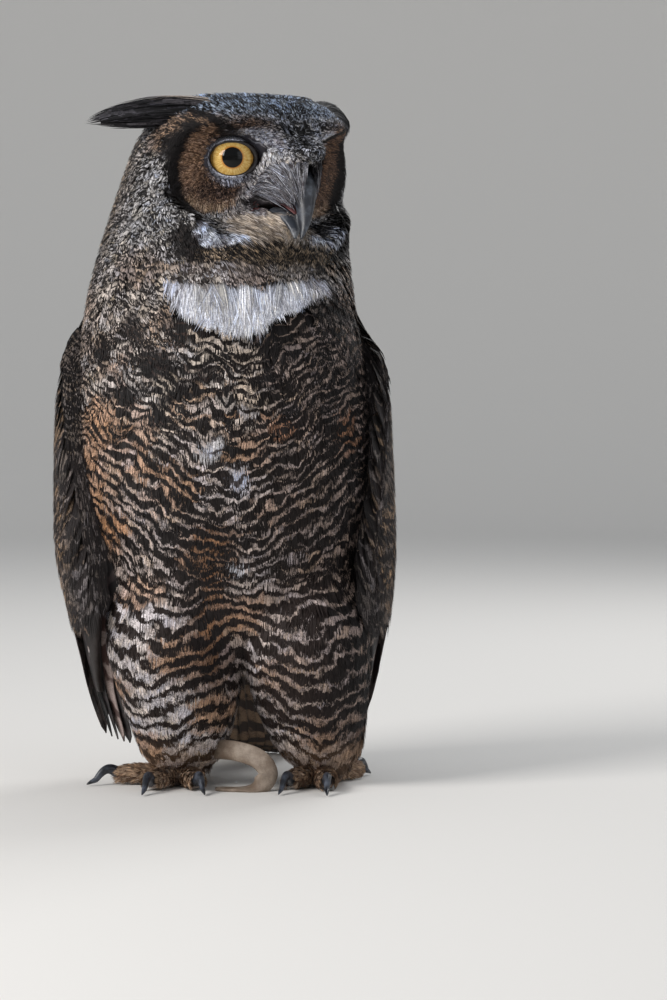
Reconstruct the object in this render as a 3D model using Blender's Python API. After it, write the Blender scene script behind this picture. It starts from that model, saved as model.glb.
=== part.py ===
"""Great horned owl, standing upright with its head turned to its left, at life size.

Modelled in millimetres round the point on the floor between the feet, +X to the owl's left, -Y to
its front and +Z up, then moved so that the origin is under the middle of the box and scaled to metres.
Each solid is the outer form of that part with its feathers on.
"""

import math

import bmesh
import bpy
import numpy as np

# ---------------------------------------------------------------- driving sizes, in millimetres
MM = 0.001
GAP = 0.35  # between solids that touch
BOX_MIDDLE = (-6.9, 39.8)  # x and y of the box's middle, measured from the point between the feet

# Trunk, neck and head are one upright tube. Its middle line leans and turns with height:
# height, x, y, turn of the front towards +X in degrees
AXIS = [
    (20, 0, 6, 6), (60, 0, 16, 6), (100, -1, 10, 6), (135, -4, 4, 6), (175, -7, 0, 6), (215, -8.5, -2, 6),
    (255, -9, -3, 6), (290, -9.5, -4, 8), (320, -9, -5, 20), (348, -5.5, -7, 36), (376, -0.4, -8, 43),
    (402, 4, -8, 43), (424, 6, -7, 43), (440, 8.4, -6, 43), (452, 10, -5, 43),
]
# and its rings: height, half width, depth to the front, depth to the back
RINGS = [
    (70, 0, 0, 0), (75, 44, 40, 32), (97, 74, 63, 50), (135, 90, 77, 66), (175, 99, 85, 75),
    (215, 101, 86, 78), (255, 97, 81, 78), (290, 92, 75, 76), (320, 88, 70, 75), (348, 86, 62, 72),
    (376, 84, 61, 68), (402, 80, 60, 63), (424, 72, 54, 57), (440, 60, 44, 47), (448.5, 37, 28, 30),
    (450.5, 0, 0, 0),
]
ROUNDNESS = 2.15  # exponent of the rings: 2 is an ellipse
BODY_TURN = 6  # of the trunk and wings
NECK_FROM, NECK_TO = 292, 338  # heights where trunk, neck and head are parted

# The face, in the head's own frame: p to the owl's left, q forward, z up
EYE_P, EYE_Q, EYE_Z = 28.5, 22, 407  # middle of the left eyeball
EYE_R = 16
EYE_OUT = 39  # degrees that each eye looks outward
HOLLOW_DEPTH, HOLLOW_R = 3, 17  # of the face round each eye
DISC_P, DISC_Z, DISC_W, DISC_H = 44, 396, 33, 38  # facial disc: middle and half sizes
FACE_Q, FACE_SLOPE = 44, 0.38  # the face falls back from the muzzle to each side
MUZZLE_RISE, MUZZLE_R = 20, 13  # of the bristly ridge that the bill comes out of
BROW_RISE, BROW_R = 16, 12
BROW = ((8, 413), (48, 437))  # ridge over the eye, from the bill out to the ear tuft

# The folded wings lie on a cloak round the trunk: height, x, y, half width, depth to the back
CLOAK = [
    (20, -1, 4, 86, 84), (40, -1.5, 4, 91, 86), (60, -2, 3, 96, 87), (85, -3, 2, 101, 88),
    (110, -4, 2, 106, 88), (150, -6.5, 1, 112, 87), (190, -7.5, 0, 112, 86), (225, -8, -1, 111, 85),
    (255, -8, -2, 109, 84), (280, -8.5, -3, 104, 81), (300, -9, -4, 94, 77),
]
# and run from a front to a back angle on it, in degrees from the front: height, front, back, thickness
WING = [
    (24, 100, 116, 3), (40, 92, 134, 5), (70, 76, 150, 7), (105, 60, 162, 10), (150, 54, 169, 12),
    (200, 62, 168, 13), (240, 70, 158, 13), (270, 77, 144, 13), (290, 86, 128, 10), (298, 94, 116, 5),
]
PRIMARIES_TO = 105  # height where the covered wing ends and the bare flight feathers begin

# Each leg: x, y, z, half width, half depth of the feathered drumstick, from hip to foot
LEGS = {
    "right": [(-42, -12, 150, 34, 36), (-42, -24, 118, 43, 44), (-40, -28, 90, 43, 45), (-36, -24, 60, 39, 40),
              (-35, -15, 34, 32, 31), (-35, -8, 18, 26, 24), (-35, -6, 11, 18, 17)],
    "left": [(44, -12, 150, 32, 36), (46, -24, 118, 41, 44), (47, -28, 90, 41, 45), (49, -24, 60, 38, 40),
             (53, -15, 34, 32, 31), (56, -8, 18, 26, 24), (57, -6, 11, 18, 17)],
}
FEET = {"right": (-35, -6), "left": (57, -6)}
SHANK_R, SHANK_TOP, PAD_R = 10.5, 33, 14
ANKLET_IN, ANKLET_OUT, ANKLET_FROM, ANKLET_TO = 11.2, 13.4, 17, 30

# Toes of each foot: name, where the toe's fleshy end and the claw's tip come down on the floor
TOES = {
    "right": {"middle": ((-54, -48), (-58, -74)), "outer": ((-77, -13), (-97, -22)),
              "inner": ((-24, -46), (-18, -73)), "hallux": ((-27, 24), (-22, 45))},
    "left": {"middle": ((60, -50), (60, -77)), "inner": ((36, -44), (29, -71)),
             "outer": ((79, 20), (89, 38)), "hallux": ((46, 24), (40, 45))},
}
TOE_R, TOE_END_R = 8.2, 6.2
CLAW_R, CLAW_RISE = 3.7, 11

# Bill in the head's frame: q, z, half width, half depth
BILL_UPPER = [(48, 399, 9.5, 8), (57, 393, 9.2, 8.2), (63.5, 386, 8.0, 7.8), (68, 377, 6, 6.1),
              (71.8, 368, 4, 4.6), (75.2, 361, 2.3, 2.7), (77, 354.5, 0.5, 0.6)]
BILL_LOWER = [(46, 373.8, 8.2, 2.6), (54, 370.5, 7.6, 2.9), (62, 365, 5.6, 2.6), (68, 359, 2.8, 1.6),
              (70.5, 355.5, 0.8, 0.7)]
TONGUE = [(42, 379.3, 4, 1), (50, 377.8, 4.6, 1.4), (58, 374, 3.6, 1.3), (61.5, 371.2, 1.2, 0.7)]
MOUTH = [(28, 379, 17, 1.6), (38, 378.6, 17, 3), (48, 377, 15, 4), (58, 372.5, 12, 4), (68, 366, 9, 3)]

# Ear tufts in the head's frame: p outward, q forward, z, half width, half depth
TUFTS = {
    "right": [(28, 29, 433, 3, 3), (40, 18, 436, 9, 8), (56, 4, 438.5, 10, 9), (74, -10, 438, 9.5, 8),
              (92, -25, 434, 6.5, 5), (106, -37, 429, 1, 1)],
    "left": [(28, 29, 433, 3, 3), (40, 20, 437, 9, 8), (56, 10, 440, 10, 9), (74, 2, 439, 9.5, 9),
             (89, -4, 432, 7.5, 7), (95, -8, 423, 1.5, 1.5)],
}

# Tail: y, z, half width, half thickness, down the middle of the fan
TAIL = [(34, 132, 26, 12), (62, 101, 32, 11), (88, 68, 35, 8), (113, 37, 38, 6), (138, 13, 40, 4), (160, 2.6, 34, 2.5),
        (168, 2, 22, 2)]

# Leather strap on the right leg: x, y, z of its middle line, from the anklet round and down to the floor
JESS = [(-21.5, -11, 24), (-12, -27, 25), (2, -40, 25), (16, -46, 20.5), (22, -48, 11), (15, -49, 3),
        (1, -46, 1.1), (-12, -43, 1.1)]
JESS_HALF_WIDTH, JESS_HALF_THICK = 6.5, 1.1

COLOURS = {
    "plumage": (0.17, 0.115, 0.075), "pale plumage": (0.42, 0.33, 0.24), "horn": (0.025, 0.03, 0.038),
    "eye": (0.72, 0.43, 0.05), "mouth": (0.35, 0.09, 0.08), "leather": (0.31, 0.22, 0.15),
    "tuft": (0.03, 0.026, 0.024),
}


# ---------------------------------------------------------------- curves and frames
def through(knots, x):
    """Smooth curve through the knots: rows of (place, values...). Returns the values at x, each as an array."""
    table = np.array(knots, float)
    at, values = table[:, 0], table[:, 1:]
    slope = np.gradient(values, at, axis=0)
    x = np.clip(np.asarray(x, float), at[0], at[-1])
    i = np.clip(np.searchsorted(at, x, side="right") - 1, 0, len(at) - 2)
    step = (at[i + 1] - at[i])[..., None]
    t = (x - at[i])[..., None] / step
    found = (values[i] * (1 + 2 * t) * (1 - t) ** 2 + slope[i] * step * t * (1 - t) ** 2
             + values[i + 1] * t * t * (3 - 2 * t) + slope[i + 1] * step * t * t * (t - 1))
    return np.moveaxis(found, -1, 0)


def stations(rows, s):
    """The same curve with the knots evenly spaced: s runs from 0 to the number of rows less one."""
    return through([(i, *row) for i, row in enumerate(rows)], s)


def ease(x, low, high):
    """0 below low, 1 above high and smooth between."""
    t = np.clip((np.asarray(x, float) - low) / (high - low), 0, 1)
    return t * t * (3 - 2 * t)


def place(p, q, z):
    """A point of the upright tube's own frame at height z: p to the owl's left, q forward."""
    x, y, turn = through(AXIS, z)
    turn = np.radians(turn)
    return np.stack([x + q * np.sin(turn) + p * np.cos(turn), y - q * np.cos(turn) + p * np.sin(turn),
                     z + 0 * p], axis=-1)


def superellipse(a):
    """Sideways and forward share of a ring's radii at angle a from the front."""
    s, c = np.sin(a), np.cos(a)
    return np.sign(s) * np.abs(s) ** (2 / ROUNDNESS), np.sign(c) * np.abs(c) ** (2 / ROUNDNESS)


# ---------------------------------------------------------------- the owl's outer form
def hump(distance, width):
    return np.exp(-((distance / width) ** 2))


def face_depth(p, z, ring_q):
    """How far forward the face stands at p and z, where the plain ring would stand at ring_q."""
    side = np.abs(p)
    chin = 340 + 16 * ease(side, 35, 75)
    open_face = ease(z, chin, chin + 30) * (1 - ease(z, 418, 444))
    plane = FACE_Q - FACE_SLOPE * np.hypot(side, 4) + 45 * (1 - open_face)
    soft = 4.0
    q = -soft * np.logaddexp(-ring_q / soft, -plane / soft)
    (bp, bz), (ep, ez) = BROW
    run = np.clip(((side - bp) * (ep - bp) + (z - bz) * (ez - bz)) / ((ep - bp) ** 2 + (ez - bz) ** 2), 0, 1)
    to_brow = np.hypot(side - bp - run * (ep - bp), z - bz - run * (ez - bz))
    rim = np.hypot((side - DISC_P) / DISC_W, (z - DISC_Z) / DISC_H)
    to_eye = np.hypot(side - EYE_P - 5, z - EYE_Z + 1)
    muzzle = MUZZLE_RISE * hump(p, MUZZLE_R) * ease(z, 350, 372) * (1 - ease(z, 408, 434))
    brow = BROW_RISE * (1 - 0.6 * run) * hump(to_brow, BROW_R)
    return q + open_face * (muzzle + brow + 3.5 * hump((rim - 1.05) * 33, 7)
                            - HOLLOW_DEPTH * hump(to_eye, HOLLOW_R))


def body_point(s, a):
    """Trunk, neck and head with feathers on. s runs up the rings, a round them from the front."""
    z, side, front, back = stations(RINGS, s)
    across, ahead = superellipse(a)
    p = side * across
    ring_q = np.where(ahead > 0, front, back) * ahead
    faced = ease(ahead, 0.02, 0.4) * ease(z, 336, 350)
    q = ring_q + faced * (face_depth(p, z, ring_q) - ring_q)
    return place(p, q, z)


def ring_at(heights):
    """The s of body_point at each height."""
    s = np.linspace(0, len(RINGS) - 1, 3000)
    return np.interp(heights, stations(RINGS, s)[0], s)


def cloak_point(z, a, out):
    """The folded wings' surface at height z and angle a in radians from the front, pushed out by out."""
    x, y, side, back = through(CLOAK, z)
    across, ahead = superellipse(a)
    p = (side + out) * across
    q = (np.where(ahead > 0, side * 0.86, back) + out) * ahead
    turn = np.radians(BODY_TURN)
    return np.stack([x + q * np.sin(turn) + p * np.cos(turn), y - q * np.cos(turn) + p * np.sin(turn), z + 0 * a], -1)


# ---------------------------------------------------------------- meshes
def materials():
    made = {}
    for name, colour in COLOURS.items():
        made[name] = bpy.data.materials.new(name)
        made[name].use_nodes = True
        shader = made[name].node_tree.nodes["Principled BSDF"]
        shader.inputs["Base Color"].default_value = (*colour, 1)
        shader.inputs["Metallic"].default_value = 0.0
        shader.inputs["Roughness"].default_value = 0.15 if name == "eye" else 0.4 if name == "horn" else 0.75
    return made


def solid(name, rings, material):
    """One closed mesh from rings of points, shape (rings, points round, 3), each end closed by a face."""
    rings = np.asarray(rings, float)
    count, around = rings.shape[:2]
    points = (rings.reshape(-1, 3) - (*BOX_MIDDLE, 0)) * MM
    i, j = np.meshgrid(np.arange(count - 1), np.arange(around), indexing="ij")
    k = (j + 1) % around
    quads = np.stack([i * around + j, i * around + k, (i + 1) * around + k, (i + 1) * around + j], -1)
    faces = quads.reshape(-1, 4).tolist()
    faces += [list(range(around))[::-1], list(range((count - 1) * around, count * around))]
    mesh = bpy.data.meshes.new(name)
    mesh.from_pydata(points.tolist(), [], faces)
    work = bmesh.new()
    work.from_mesh(mesh)
    bmesh.ops.remove_doubles(work, verts=work.verts, dist=0.02 * MM)
    bmesh.ops.recalc_face_normals(work, faces=work.faces)
    work.to_mesh(mesh)
    work.free()
    mesh.materials.append(material)
    mesh.shade_smooth()
    made = bpy.data.objects.new(name, mesh)
    bpy.context.scene.collection.objects.link(made)
    return made


def cutter(name, rings, material):
    made = solid(name, rings, material)
    made.hide_render = True
    made.display_type = "WIRE"
    return made


def cut(target, *cutters):
    for tool in cutters:
        modifier = target.modifiers.new("cut " + tool.name, "BOOLEAN")
        modifier.operation = "DIFFERENCE"
        modifier.solver = "EXACT"
        modifier.object = tool


def lengthened(middle, grow):
    """The same path with its two ends moved outward by grow."""
    longer = middle.copy()
    longer[0] -= unit(middle[1] - middle[0]) * grow
    longer[-1] += unit(middle[-1] - middle[-2]) * grow
    return longer


def tube(middle, across, over, half_width, half_depth, around=16):
    """Elliptical rings: middle and the two unit directions are (n, 3), the half sizes (n,)."""
    a = np.linspace(0, 2 * np.pi, around, endpoint=False)
    wide = (half_width[:, None] * np.cos(a))[..., None] * across[:, None, :]
    deep = (half_depth[:, None] * np.sin(a))[..., None] * over[:, None, :]
    return middle[:, None, :] + wide + deep


def unit(v):
    return v / np.linalg.norm(v, axis=-1, keepdims=True)


def frames(middle, hint):
    """For each point of a path, its sideways direction, square to the hint, and the third direction."""
    along = unit(np.gradient(middle, axis=0))
    across = unit(np.cross(along, np.broadcast_to(np.asarray(hint, float), along.shape)))
    return across, unit(np.cross(across, along))


def whole_body(part, s, around, material):
    """The length of the upright tube at stations s, its columns closer together in front than behind."""
    a = np.linspace(0, 2 * np.pi, around, endpoint=False)
    a = a - 0.45 * np.sin(a)
    grid = np.meshgrid(s, a, indexing="ij")
    return solid(part, body_point(*grid), material)


def wing_heights(piece):
    """Heights of the crescents of the bare primaries, of the covered wing, or of both for their room."""
    bare = np.linspace(WING[0][0], PRIMARIES_TO - GAP / 2, 6)
    covered = np.linspace(PRIMARIES_TO + GAP / 2, WING[-1][0], 11)
    room = np.concatenate([[WING[0][0] - 2 * GAP], bare[1:], covered[:-1], [WING[-1][0] + 2 * GAP]])
    return {"primaries": bare, "wing": covered, "room": room}[piece]


def wing_rings(side, piece, grow=0.0):
    """A closed crescent at each height: its outer face on the cloak, its inner face under it."""
    heights = wing_heights(piece)
    front, back, thick = through(WING, heights)
    turn = np.concatenate([np.linspace(0, 1, 9), np.linspace(1, 0, 9)[1:-1]])
    outer = np.concatenate([np.ones(9), np.zeros(7)])
    spread = np.degrees(grow / 100)
    share = front[:, None] - spread + turn * (back - front + 2 * spread)[:, None]
    edge = np.sqrt(np.clip(1 - (2 * turn - 1) ** 4, 0, 1))
    depth = np.where(outer > 0, grow + 0 * share, -(thick[:, None] * (0.5 + 0.5 * edge) + grow))
    return cloak_point(heights[:, None] + 0 * share, side * np.radians(share), depth)


def leg_rings(side, grow=0.0):
    s = np.linspace(0, len(LEGS[side]) - 1, 11)
    x, y, z, wide, deep = stations(LEGS[side], s)
    middle = np.stack([x, y, z], -1)
    middle[0, 2] += grow
    middle[-1, 2] -= grow
    level = np.tile([1.0, 0, 0], (len(s), 1)), np.tile([0, 1.0, 0], (len(s), 1))
    return tube(middle, *level, wide + grow, deep + grow, around=15)


def toe_rings(foot, end, grow=0.0):
    """A toe lies on the floor from the pad to its end, two soft swellings along it, flat underneath."""
    t = np.linspace(0.12, 1, 6)
    radius = TOE_R + (TOE_END_R - TOE_R) * t + 0.5 * np.sin(3.2 * np.pi * t) + grow
    radius[-1] *= 0.85
    foot, end = np.array(foot, float), np.array(end, float)
    flat = foot + (end - foot) * t[:, None]
    height = 7.4 - 1.6 * t
    middle = np.column_stack([flat, height])
    across, over = frames(middle, (0, 0, 1))
    rings = tube(lengthened(middle, grow), across, over, radius, radius, around=9)
    rings[..., 2] = np.maximum(rings[..., 2], -grow)
    return rings


def claw_rings(end, tip, grow=0.0):
    """A claw arches up from the toe's end and down to a tip just over the floor."""
    end, tip = np.array(end, float), np.array(tip, float)
    t = np.linspace(0, 1, 6)
    start = end - unit(tip - end) * 3
    flat = start + (tip - start) * (t ** 0.85)[:, None]
    height = 6.2 + (CLAW_RISE - 6.2) * np.sin(np.pi * np.minimum(t / 0.7, 1)) - 5.0 * t ** 2.2
    middle = np.column_stack([flat, height])
    across, over = frames(middle, (0, 0, 1))
    radius = CLAW_R * (1 - t) ** 0.7 + 0.45 + grow
    return tube(lengthened(middle, grow), across, over, radius * 0.9, radius, around=6)


def head_path(rows, around=10, grow=0.0):
    """A tube in the middle plane of the head: rows of q, z, half width, half depth."""
    s = np.linspace(0, len(rows) - 1, 2 * len(rows))
    q, z, wide, deep = stations(rows, s)
    along = unit(np.gradient(np.stack([q, z], -1), axis=0))
    q, z = lengthened(np.stack([q, z], -1), grow).T
    a = np.linspace(0, 2 * np.pi, around, endpoint=False)
    p = (wide + grow)[:, None] * np.cos(a)
    rise = (deep + grow)[:, None] * np.sin(a)
    return place(p, q[:, None] - along[:, 1:] * rise, z[:, None] + along[:, :1] * rise)


def tuft_rings(side, grow=0.0):
    rows = TUFTS[side]
    hand = 1 if side == "left" else -1
    s = np.linspace(0, len(rows) - 1, 2 * len(rows))
    p, q, z, wide, deep = stations(rows, s)
    middle = place(hand * p, q, z)
    across, over = frames(middle, (0, 0, 1))
    return tube(lengthened(middle, grow), across, over, wide * 0.75 + grow, deep + grow, around=9)


def eye_rings(side, radius):
    """A ball turned on the eye's own line of sight, its poles front and back."""
    hand = 1 if side == "left" else -1
    t = np.radians(EYE_OUT)
    bow = np.linspace(0.06, np.pi - 0.06, 9)
    a = np.linspace(0, 2 * np.pi, 12, endpoint=False)
    along = radius * np.cos(bow)[:, None] + 0 * a
    across = radius * np.sin(bow)[:, None] * np.cos(a)
    up = radius * np.sin(bow)[:, None] * np.sin(a)
    p = EYE_P + along * np.sin(t) + across * np.cos(t)
    q = EYE_Q + along * np.cos(t) - across * np.sin(t)
    x, y, turn = through(AXIS, EYE_Z)
    turn = np.radians(turn)
    p = hand * p
    return np.stack([x + q * np.sin(turn) + p * np.cos(turn), y - q * np.cos(turn) + p * np.sin(turn), EYE_Z + up], -1)


def tail_rings(grow=0.0):
    s = np.linspace(0, len(TAIL) - 1, 12)
    y, z, wide, thick = stations(TAIL, s)
    middle = np.stack([0 * y - 2, y, z], -1)
    across, over = frames(middle, (0, 0, 1))
    rings = tube(lengthened(middle, grow), across, over, wide + grow, thick + grow, around=14)
    rings[..., 2] = np.maximum(rings[..., 2], 0)
    return rings


def upright_ring(x, y, outer, inner, low, high, around=16):
    """A flat-ended band round an upright line, its profile closed so that the ring is a torus."""
    a = np.linspace(0, 2 * np.pi, around, endpoint=False)
    profile = [(inner, low), (outer, low), (outer, high), (inner, high)]
    return [np.stack([x + r * np.cos(a), y + r * np.sin(a), h + 0 * a], -1) for r, h in profile]


def band(name, x, y, material):
    rings = upright_ring(x, y, ANKLET_OUT, ANKLET_IN, ANKLET_FROM, ANKLET_TO)
    made = solid(name, [*rings, rings[0]], material)
    work = bmesh.new()
    work.from_mesh(made.data)
    lids = [f for f in work.faces if len(f.verts) > 4]
    bmesh.ops.delete(work, geom=lids, context="FACES_ONLY")
    bmesh.ops.recalc_face_normals(work, faces=work.faces)
    work.to_mesh(made.data)
    work.free()
    return made


def foot_rings(x, y, grow=0.0):
    """The shank inside the feathers and the pad under it that the toes leave from, flat on the floor."""
    rows = [(0.0, PAD_R - 2), (4.0, PAD_R), (9.0, PAD_R - 1), (14.5, SHANK_R), (SHANK_TOP, SHANK_R)]
    a = np.linspace(0, 2 * np.pi, 14, endpoint=False)
    rows[0] = (-grow, rows[0][1])
    rows[-1] = (SHANK_TOP + grow, SHANK_R)
    return [np.stack([x + (r + grow) * np.cos(a), y + (r + grow) * np.sin(a), h + 0 * a], -1) for h, r in rows]


def jess_rings(grow=0.0):
    """A flat strap that faces forward where it leaves the anklet and turns to lie flat on the floor."""
    s = np.linspace(0, len(JESS) - 1, 22)
    middle = np.stack(stations(JESS, s), -1)
    along = unit(np.gradient(middle, axis=0))
    lie = ease(s, 4, 6)[:, None]
    face = np.array([0.3, -1.0, 0.0]) * (1 - lie) + np.array([0, 0, 1.0]) * lie
    wide = unit(np.cross(along, face))
    thick = unit(np.cross(wide, along))
    w, h = JESS_HALF_WIDTH + grow, JESS_HALF_THICK + grow
    corners = [(-w, -h), (w, -h), (w, h), (-w, h)]
    longer = lengthened(middle, grow)
    rings = np.stack([longer + wide * a + thick * b for a, b in corners], axis=1)
    rings[..., 2] = np.maximum(rings[..., 2], -grow)
    return rings


# ---------------------------------------------------------------- the whole owl
def build():
    for old in list(bpy.data.objects):
        bpy.data.objects.remove(old)
    skin = materials()
    feathers, pale = skin["plumage"], skin["pale plumage"]
    trunk = whole_body("trunk", np.linspace(0, ring_at(NECK_FROM), 13), 26, feathers)
    neck = whole_body("neck", ring_at(np.linspace(NECK_FROM + GAP, NECK_TO, 4)), 28, feathers)
    crown = len(RINGS) - 1 - np.array([1.1, 0.55, 0.2, 0])
    face = ring_at(np.linspace(NECK_TO + GAP, 442, 18))
    head = whole_body("head", np.concatenate([face, crown]), 36, pale)

    cut(trunk, cutter("tail_room", tail_rings(GAP), feathers))
    solid("tail", tail_rings(), feathers)
    for side, hand in (("right", -1), ("left", 1)):
        solid("primaries_" + side, wing_rings(hand, "primaries"), feathers)
        solid("wing_" + side, wing_rings(hand, "wing"), feathers)
        wing_room = cutter(f"wing_{side}_room", wing_rings(hand, "room", 3 * GAP), feathers)
        leg_room = cutter(f"leg_{side}_room", leg_rings(side, GAP), feathers)
        cut(trunk, wing_room, leg_room)
        cut(neck, wing_room)

        x, y = FEET[side]
        leg = solid("leg_" + side, leg_rings(side), pale)
        foot_room = cutter(f"foot_{side}_room", foot_rings(x, y, GAP), pale)
        cut(leg, foot_room, wing_room)
        solid("foot_" + side, foot_rings(x, y), pale)
        anklet = band("anklet_" + side, x, y, skin["leather"])
        room = [(0.5, ANKLET_FROM - 8), (ANKLET_OUT + GAP, ANKLET_FROM - 8), (ANKLET_OUT + GAP, ANKLET_TO + GAP),
                (0.5, ANKLET_TO + GAP)]
        a = np.linspace(0, 2 * np.pi, 16, endpoint=False)
        cut(leg, cutter(f"anklet_{side}_room", [np.stack([x + r * np.cos(a), y + r * np.sin(a), h + 0 * a], -1)
                                                for r, h in room], pale))
        if side == "right":
            solid("jess_" + side, jess_rings(), skin["leather"])
            strap_room = cutter("jess_room", jess_rings(GAP), pale)
            cut(leg, strap_room)
            cut(anklet, strap_room)
        others = [foot_room]
        for toe, (end, tip) in TOES[side].items():
            made = solid(f"toe_{side}_{toe}", toe_rings((x, y), end), pale)
            solid(f"claw_{side}_{toe}", claw_rings(end, tip), skin["horn"])
            cut(made, *others, cutter(f"claw_{side}_{toe}_room", claw_rings(end, tip, GAP), pale))
            others.append(cutter(f"toe_{side}_{toe}_room", toe_rings((x, y), end, GAP), pale))
        cut(leg, *others[1:])

        solid("eye_" + side, eye_rings(side, EYE_R), skin["eye"])
        cut(head, cutter(f"eye_{side}_room", eye_rings(side, EYE_R + GAP), pale))
        tuft = solid("ear_tuft_" + side, tuft_rings(side), skin["tuft"])
        cut(head, cutter(f"tuft_{side}_room", tuft_rings(side, GAP), pale))

    upper = solid("bill_upper", head_path(BILL_UPPER), skin["horn"])
    solid("bill_lower", head_path(BILL_LOWER), skin["horn"])
    solid("tongue", head_path(TONGUE, 8), skin["mouth"])
    mouth_room = cutter("mouth_room", head_path(MOUTH), pale)
    cut(head, mouth_room, cutter("bill_upper_room", head_path(BILL_UPPER, grow=GAP), pale),
        cutter("bill_lower_room", head_path(BILL_LOWER, grow=GAP), pale))
    bpy.context.view_layer.update()


build()
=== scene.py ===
"""Looks of a life-size great horned owl: skin, plumage, eyes, bill, claws and leather round the fixed frame.

Shapes are worked out in millimetres round the point on the floor between the feet, +X to the owl's
left, -Y to its front, and are moved to the frame's place in metres when each mesh is made.
"""

import bmesh
import bpy
import numpy as np
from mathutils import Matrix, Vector


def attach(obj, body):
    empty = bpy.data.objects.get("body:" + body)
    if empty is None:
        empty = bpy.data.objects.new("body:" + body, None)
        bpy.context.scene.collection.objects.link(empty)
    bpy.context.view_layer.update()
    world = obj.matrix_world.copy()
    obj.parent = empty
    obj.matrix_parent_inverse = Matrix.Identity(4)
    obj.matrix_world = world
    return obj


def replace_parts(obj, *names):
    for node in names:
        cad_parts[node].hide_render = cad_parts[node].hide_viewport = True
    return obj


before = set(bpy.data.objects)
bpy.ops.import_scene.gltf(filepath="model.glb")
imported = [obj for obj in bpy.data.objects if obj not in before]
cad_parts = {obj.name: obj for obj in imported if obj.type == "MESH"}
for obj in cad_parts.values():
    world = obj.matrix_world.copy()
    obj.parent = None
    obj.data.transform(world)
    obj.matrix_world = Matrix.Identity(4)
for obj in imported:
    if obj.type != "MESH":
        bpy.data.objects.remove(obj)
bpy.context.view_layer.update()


# ==== The bird's form and its skin ====
# Trunk, neck and head are one upright tube that leans and turns with height, and the feathered thighs
# grow out of it. The skin is that form drawn in by the depth of the coat, made as one closed surface.
MM = 0.001
MIDDLE = np.array([-6.9, 39.8, 0.0])  # of the frame's box, from the point between the feet
ROUNDNESS = 2.15
SIDES = {"right": -1, "left": 1}  # and which way along x each side lies
BODY_TURN = 6  # degrees
# height, x, y, turn of the front towards the owl's left in degrees
AXIS = [
    (20, 0, 6, 6), (60, 0, 16, 6), (100, -1, 10, 6), (135, -4, 4, 6), (175, -7, 0, 6), (215, -8.5, -2, 6),
    (255, -9, -3, 6), (290, -9.5, -4, 8), (320, -9, -5, 20), (348, -5.5, -7, 36), (376, -0.4, -8, 43),
    (402, 4, -8, 43), (424, 6, -7, 43), (440, 8.4, -6, 43), (452, 10, -5, 43),
]
# height, half width, depth to the front, depth to the back
RINGS = [
    (70, 0, 0, 0), (75, 44, 40, 32), (97, 74, 63, 50), (135, 90, 77, 66), (175, 99, 85, 75),
    (215, 101, 86, 78), (255, 97, 81, 78), (290, 92, 75, 76), (320, 88, 70, 75), (348, 86, 62, 72),
    (376, 84, 61, 68), (402, 80, 60, 63), (424, 72, 54, 57), (440, 60, 44, 47), (448.5, 37, 28, 30),
    (450.5, 0, 0, 0),
]
# x, y, height, half width, half depth of each feathered leg
LEGS = {
    "right": [(-42, -12, 150, 34, 36), (-42, -24, 118, 43, 44), (-40, -28, 90, 43, 45),
              (-36, -24, 60, 39, 40), (-35, -15, 34, 32, 31), (-35, -8, 18, 26, 24), (-35, -6, 11, 18, 17)],
    "left": [(44, -12, 150, 32, 36), (46, -24, 118, 41, 44), (47, -28, 90, 41, 45), (49, -24, 60, 38, 40),
             (53, -15, 34, 32, 31), (56, -8, 18, 26, 24), (57, -6, 11, 18, 17)],
}
# The middle of each foot and, for each toe, where it ends and where its claw does: x, y
FEET = {"right": (-35, -6), "left": (57, -6)}
TOES = {
    "right": {"middle": ((-54, -48), (-58, -74)), "outer": ((-77, -13), (-97, -22)),
              "inner": ((-24, -46), (-18, -73)), "hallux": ((-27, 24), (-22, 45))},
    "left": {"middle": ((60, -50), (60, -77)), "inner": ((36, -44), (29, -71)),
             "outer": ((79, 20), (89, 38)), "hallux": ((46, 24), (40, 45))},
}
# The face, in the head's own frame: p to the owl's left, q forward, z up
EYE_P, EYE_Q, EYE_Z, EYE_R = 28.5, 22, 407, 16  # the eyeball's middle and radius
EYE_OUT = 39  # degrees that each eye looks outwards
IRIS_P = 34  # the middle of the iris, seen from the front
DISC_P, DISC_Z, DISC_W, DISC_H = 44, 396, 33, 38  # the facial disc's middle, half width and half height
RIM_Z, RIM_H = 402, 35  # middle and half height of its dark rim
BROW = ((8, 413), (48, 437))  # from its inner to its outer end
# The folded wings lie on a cloak round the trunk: height, x, y, half width, depth to the back
CLOAK = [
    (20, -1, 4, 86, 84), (40, -1.5, 4, 91, 86), (60, -2, 3, 96, 87), (85, -3, 2, 101, 88),
    (110, -4, 2, 106, 88), (150, -6.5, 1, 112, 87), (190, -7.5, 0, 112, 86), (225, -8, -1, 111, 85),
    (255, -8, -2, 109, 84), (280, -8.5, -3, 104, 81), (300, -9, -4, 94, 77),
]
# and cover it from a front to a back angle, in degrees from the front: height, front, back, thickness
WING = [
    (24, 100, 116, 3), (40, 92, 134, 5), (70, 76, 150, 7), (105, 60, 162, 10), (150, 54, 169, 12),
    (200, 62, 168, 13), (240, 70, 158, 13), (270, 77, 144, 13), (290, 86, 128, 10), (298, 94, 116, 5),
]


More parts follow.
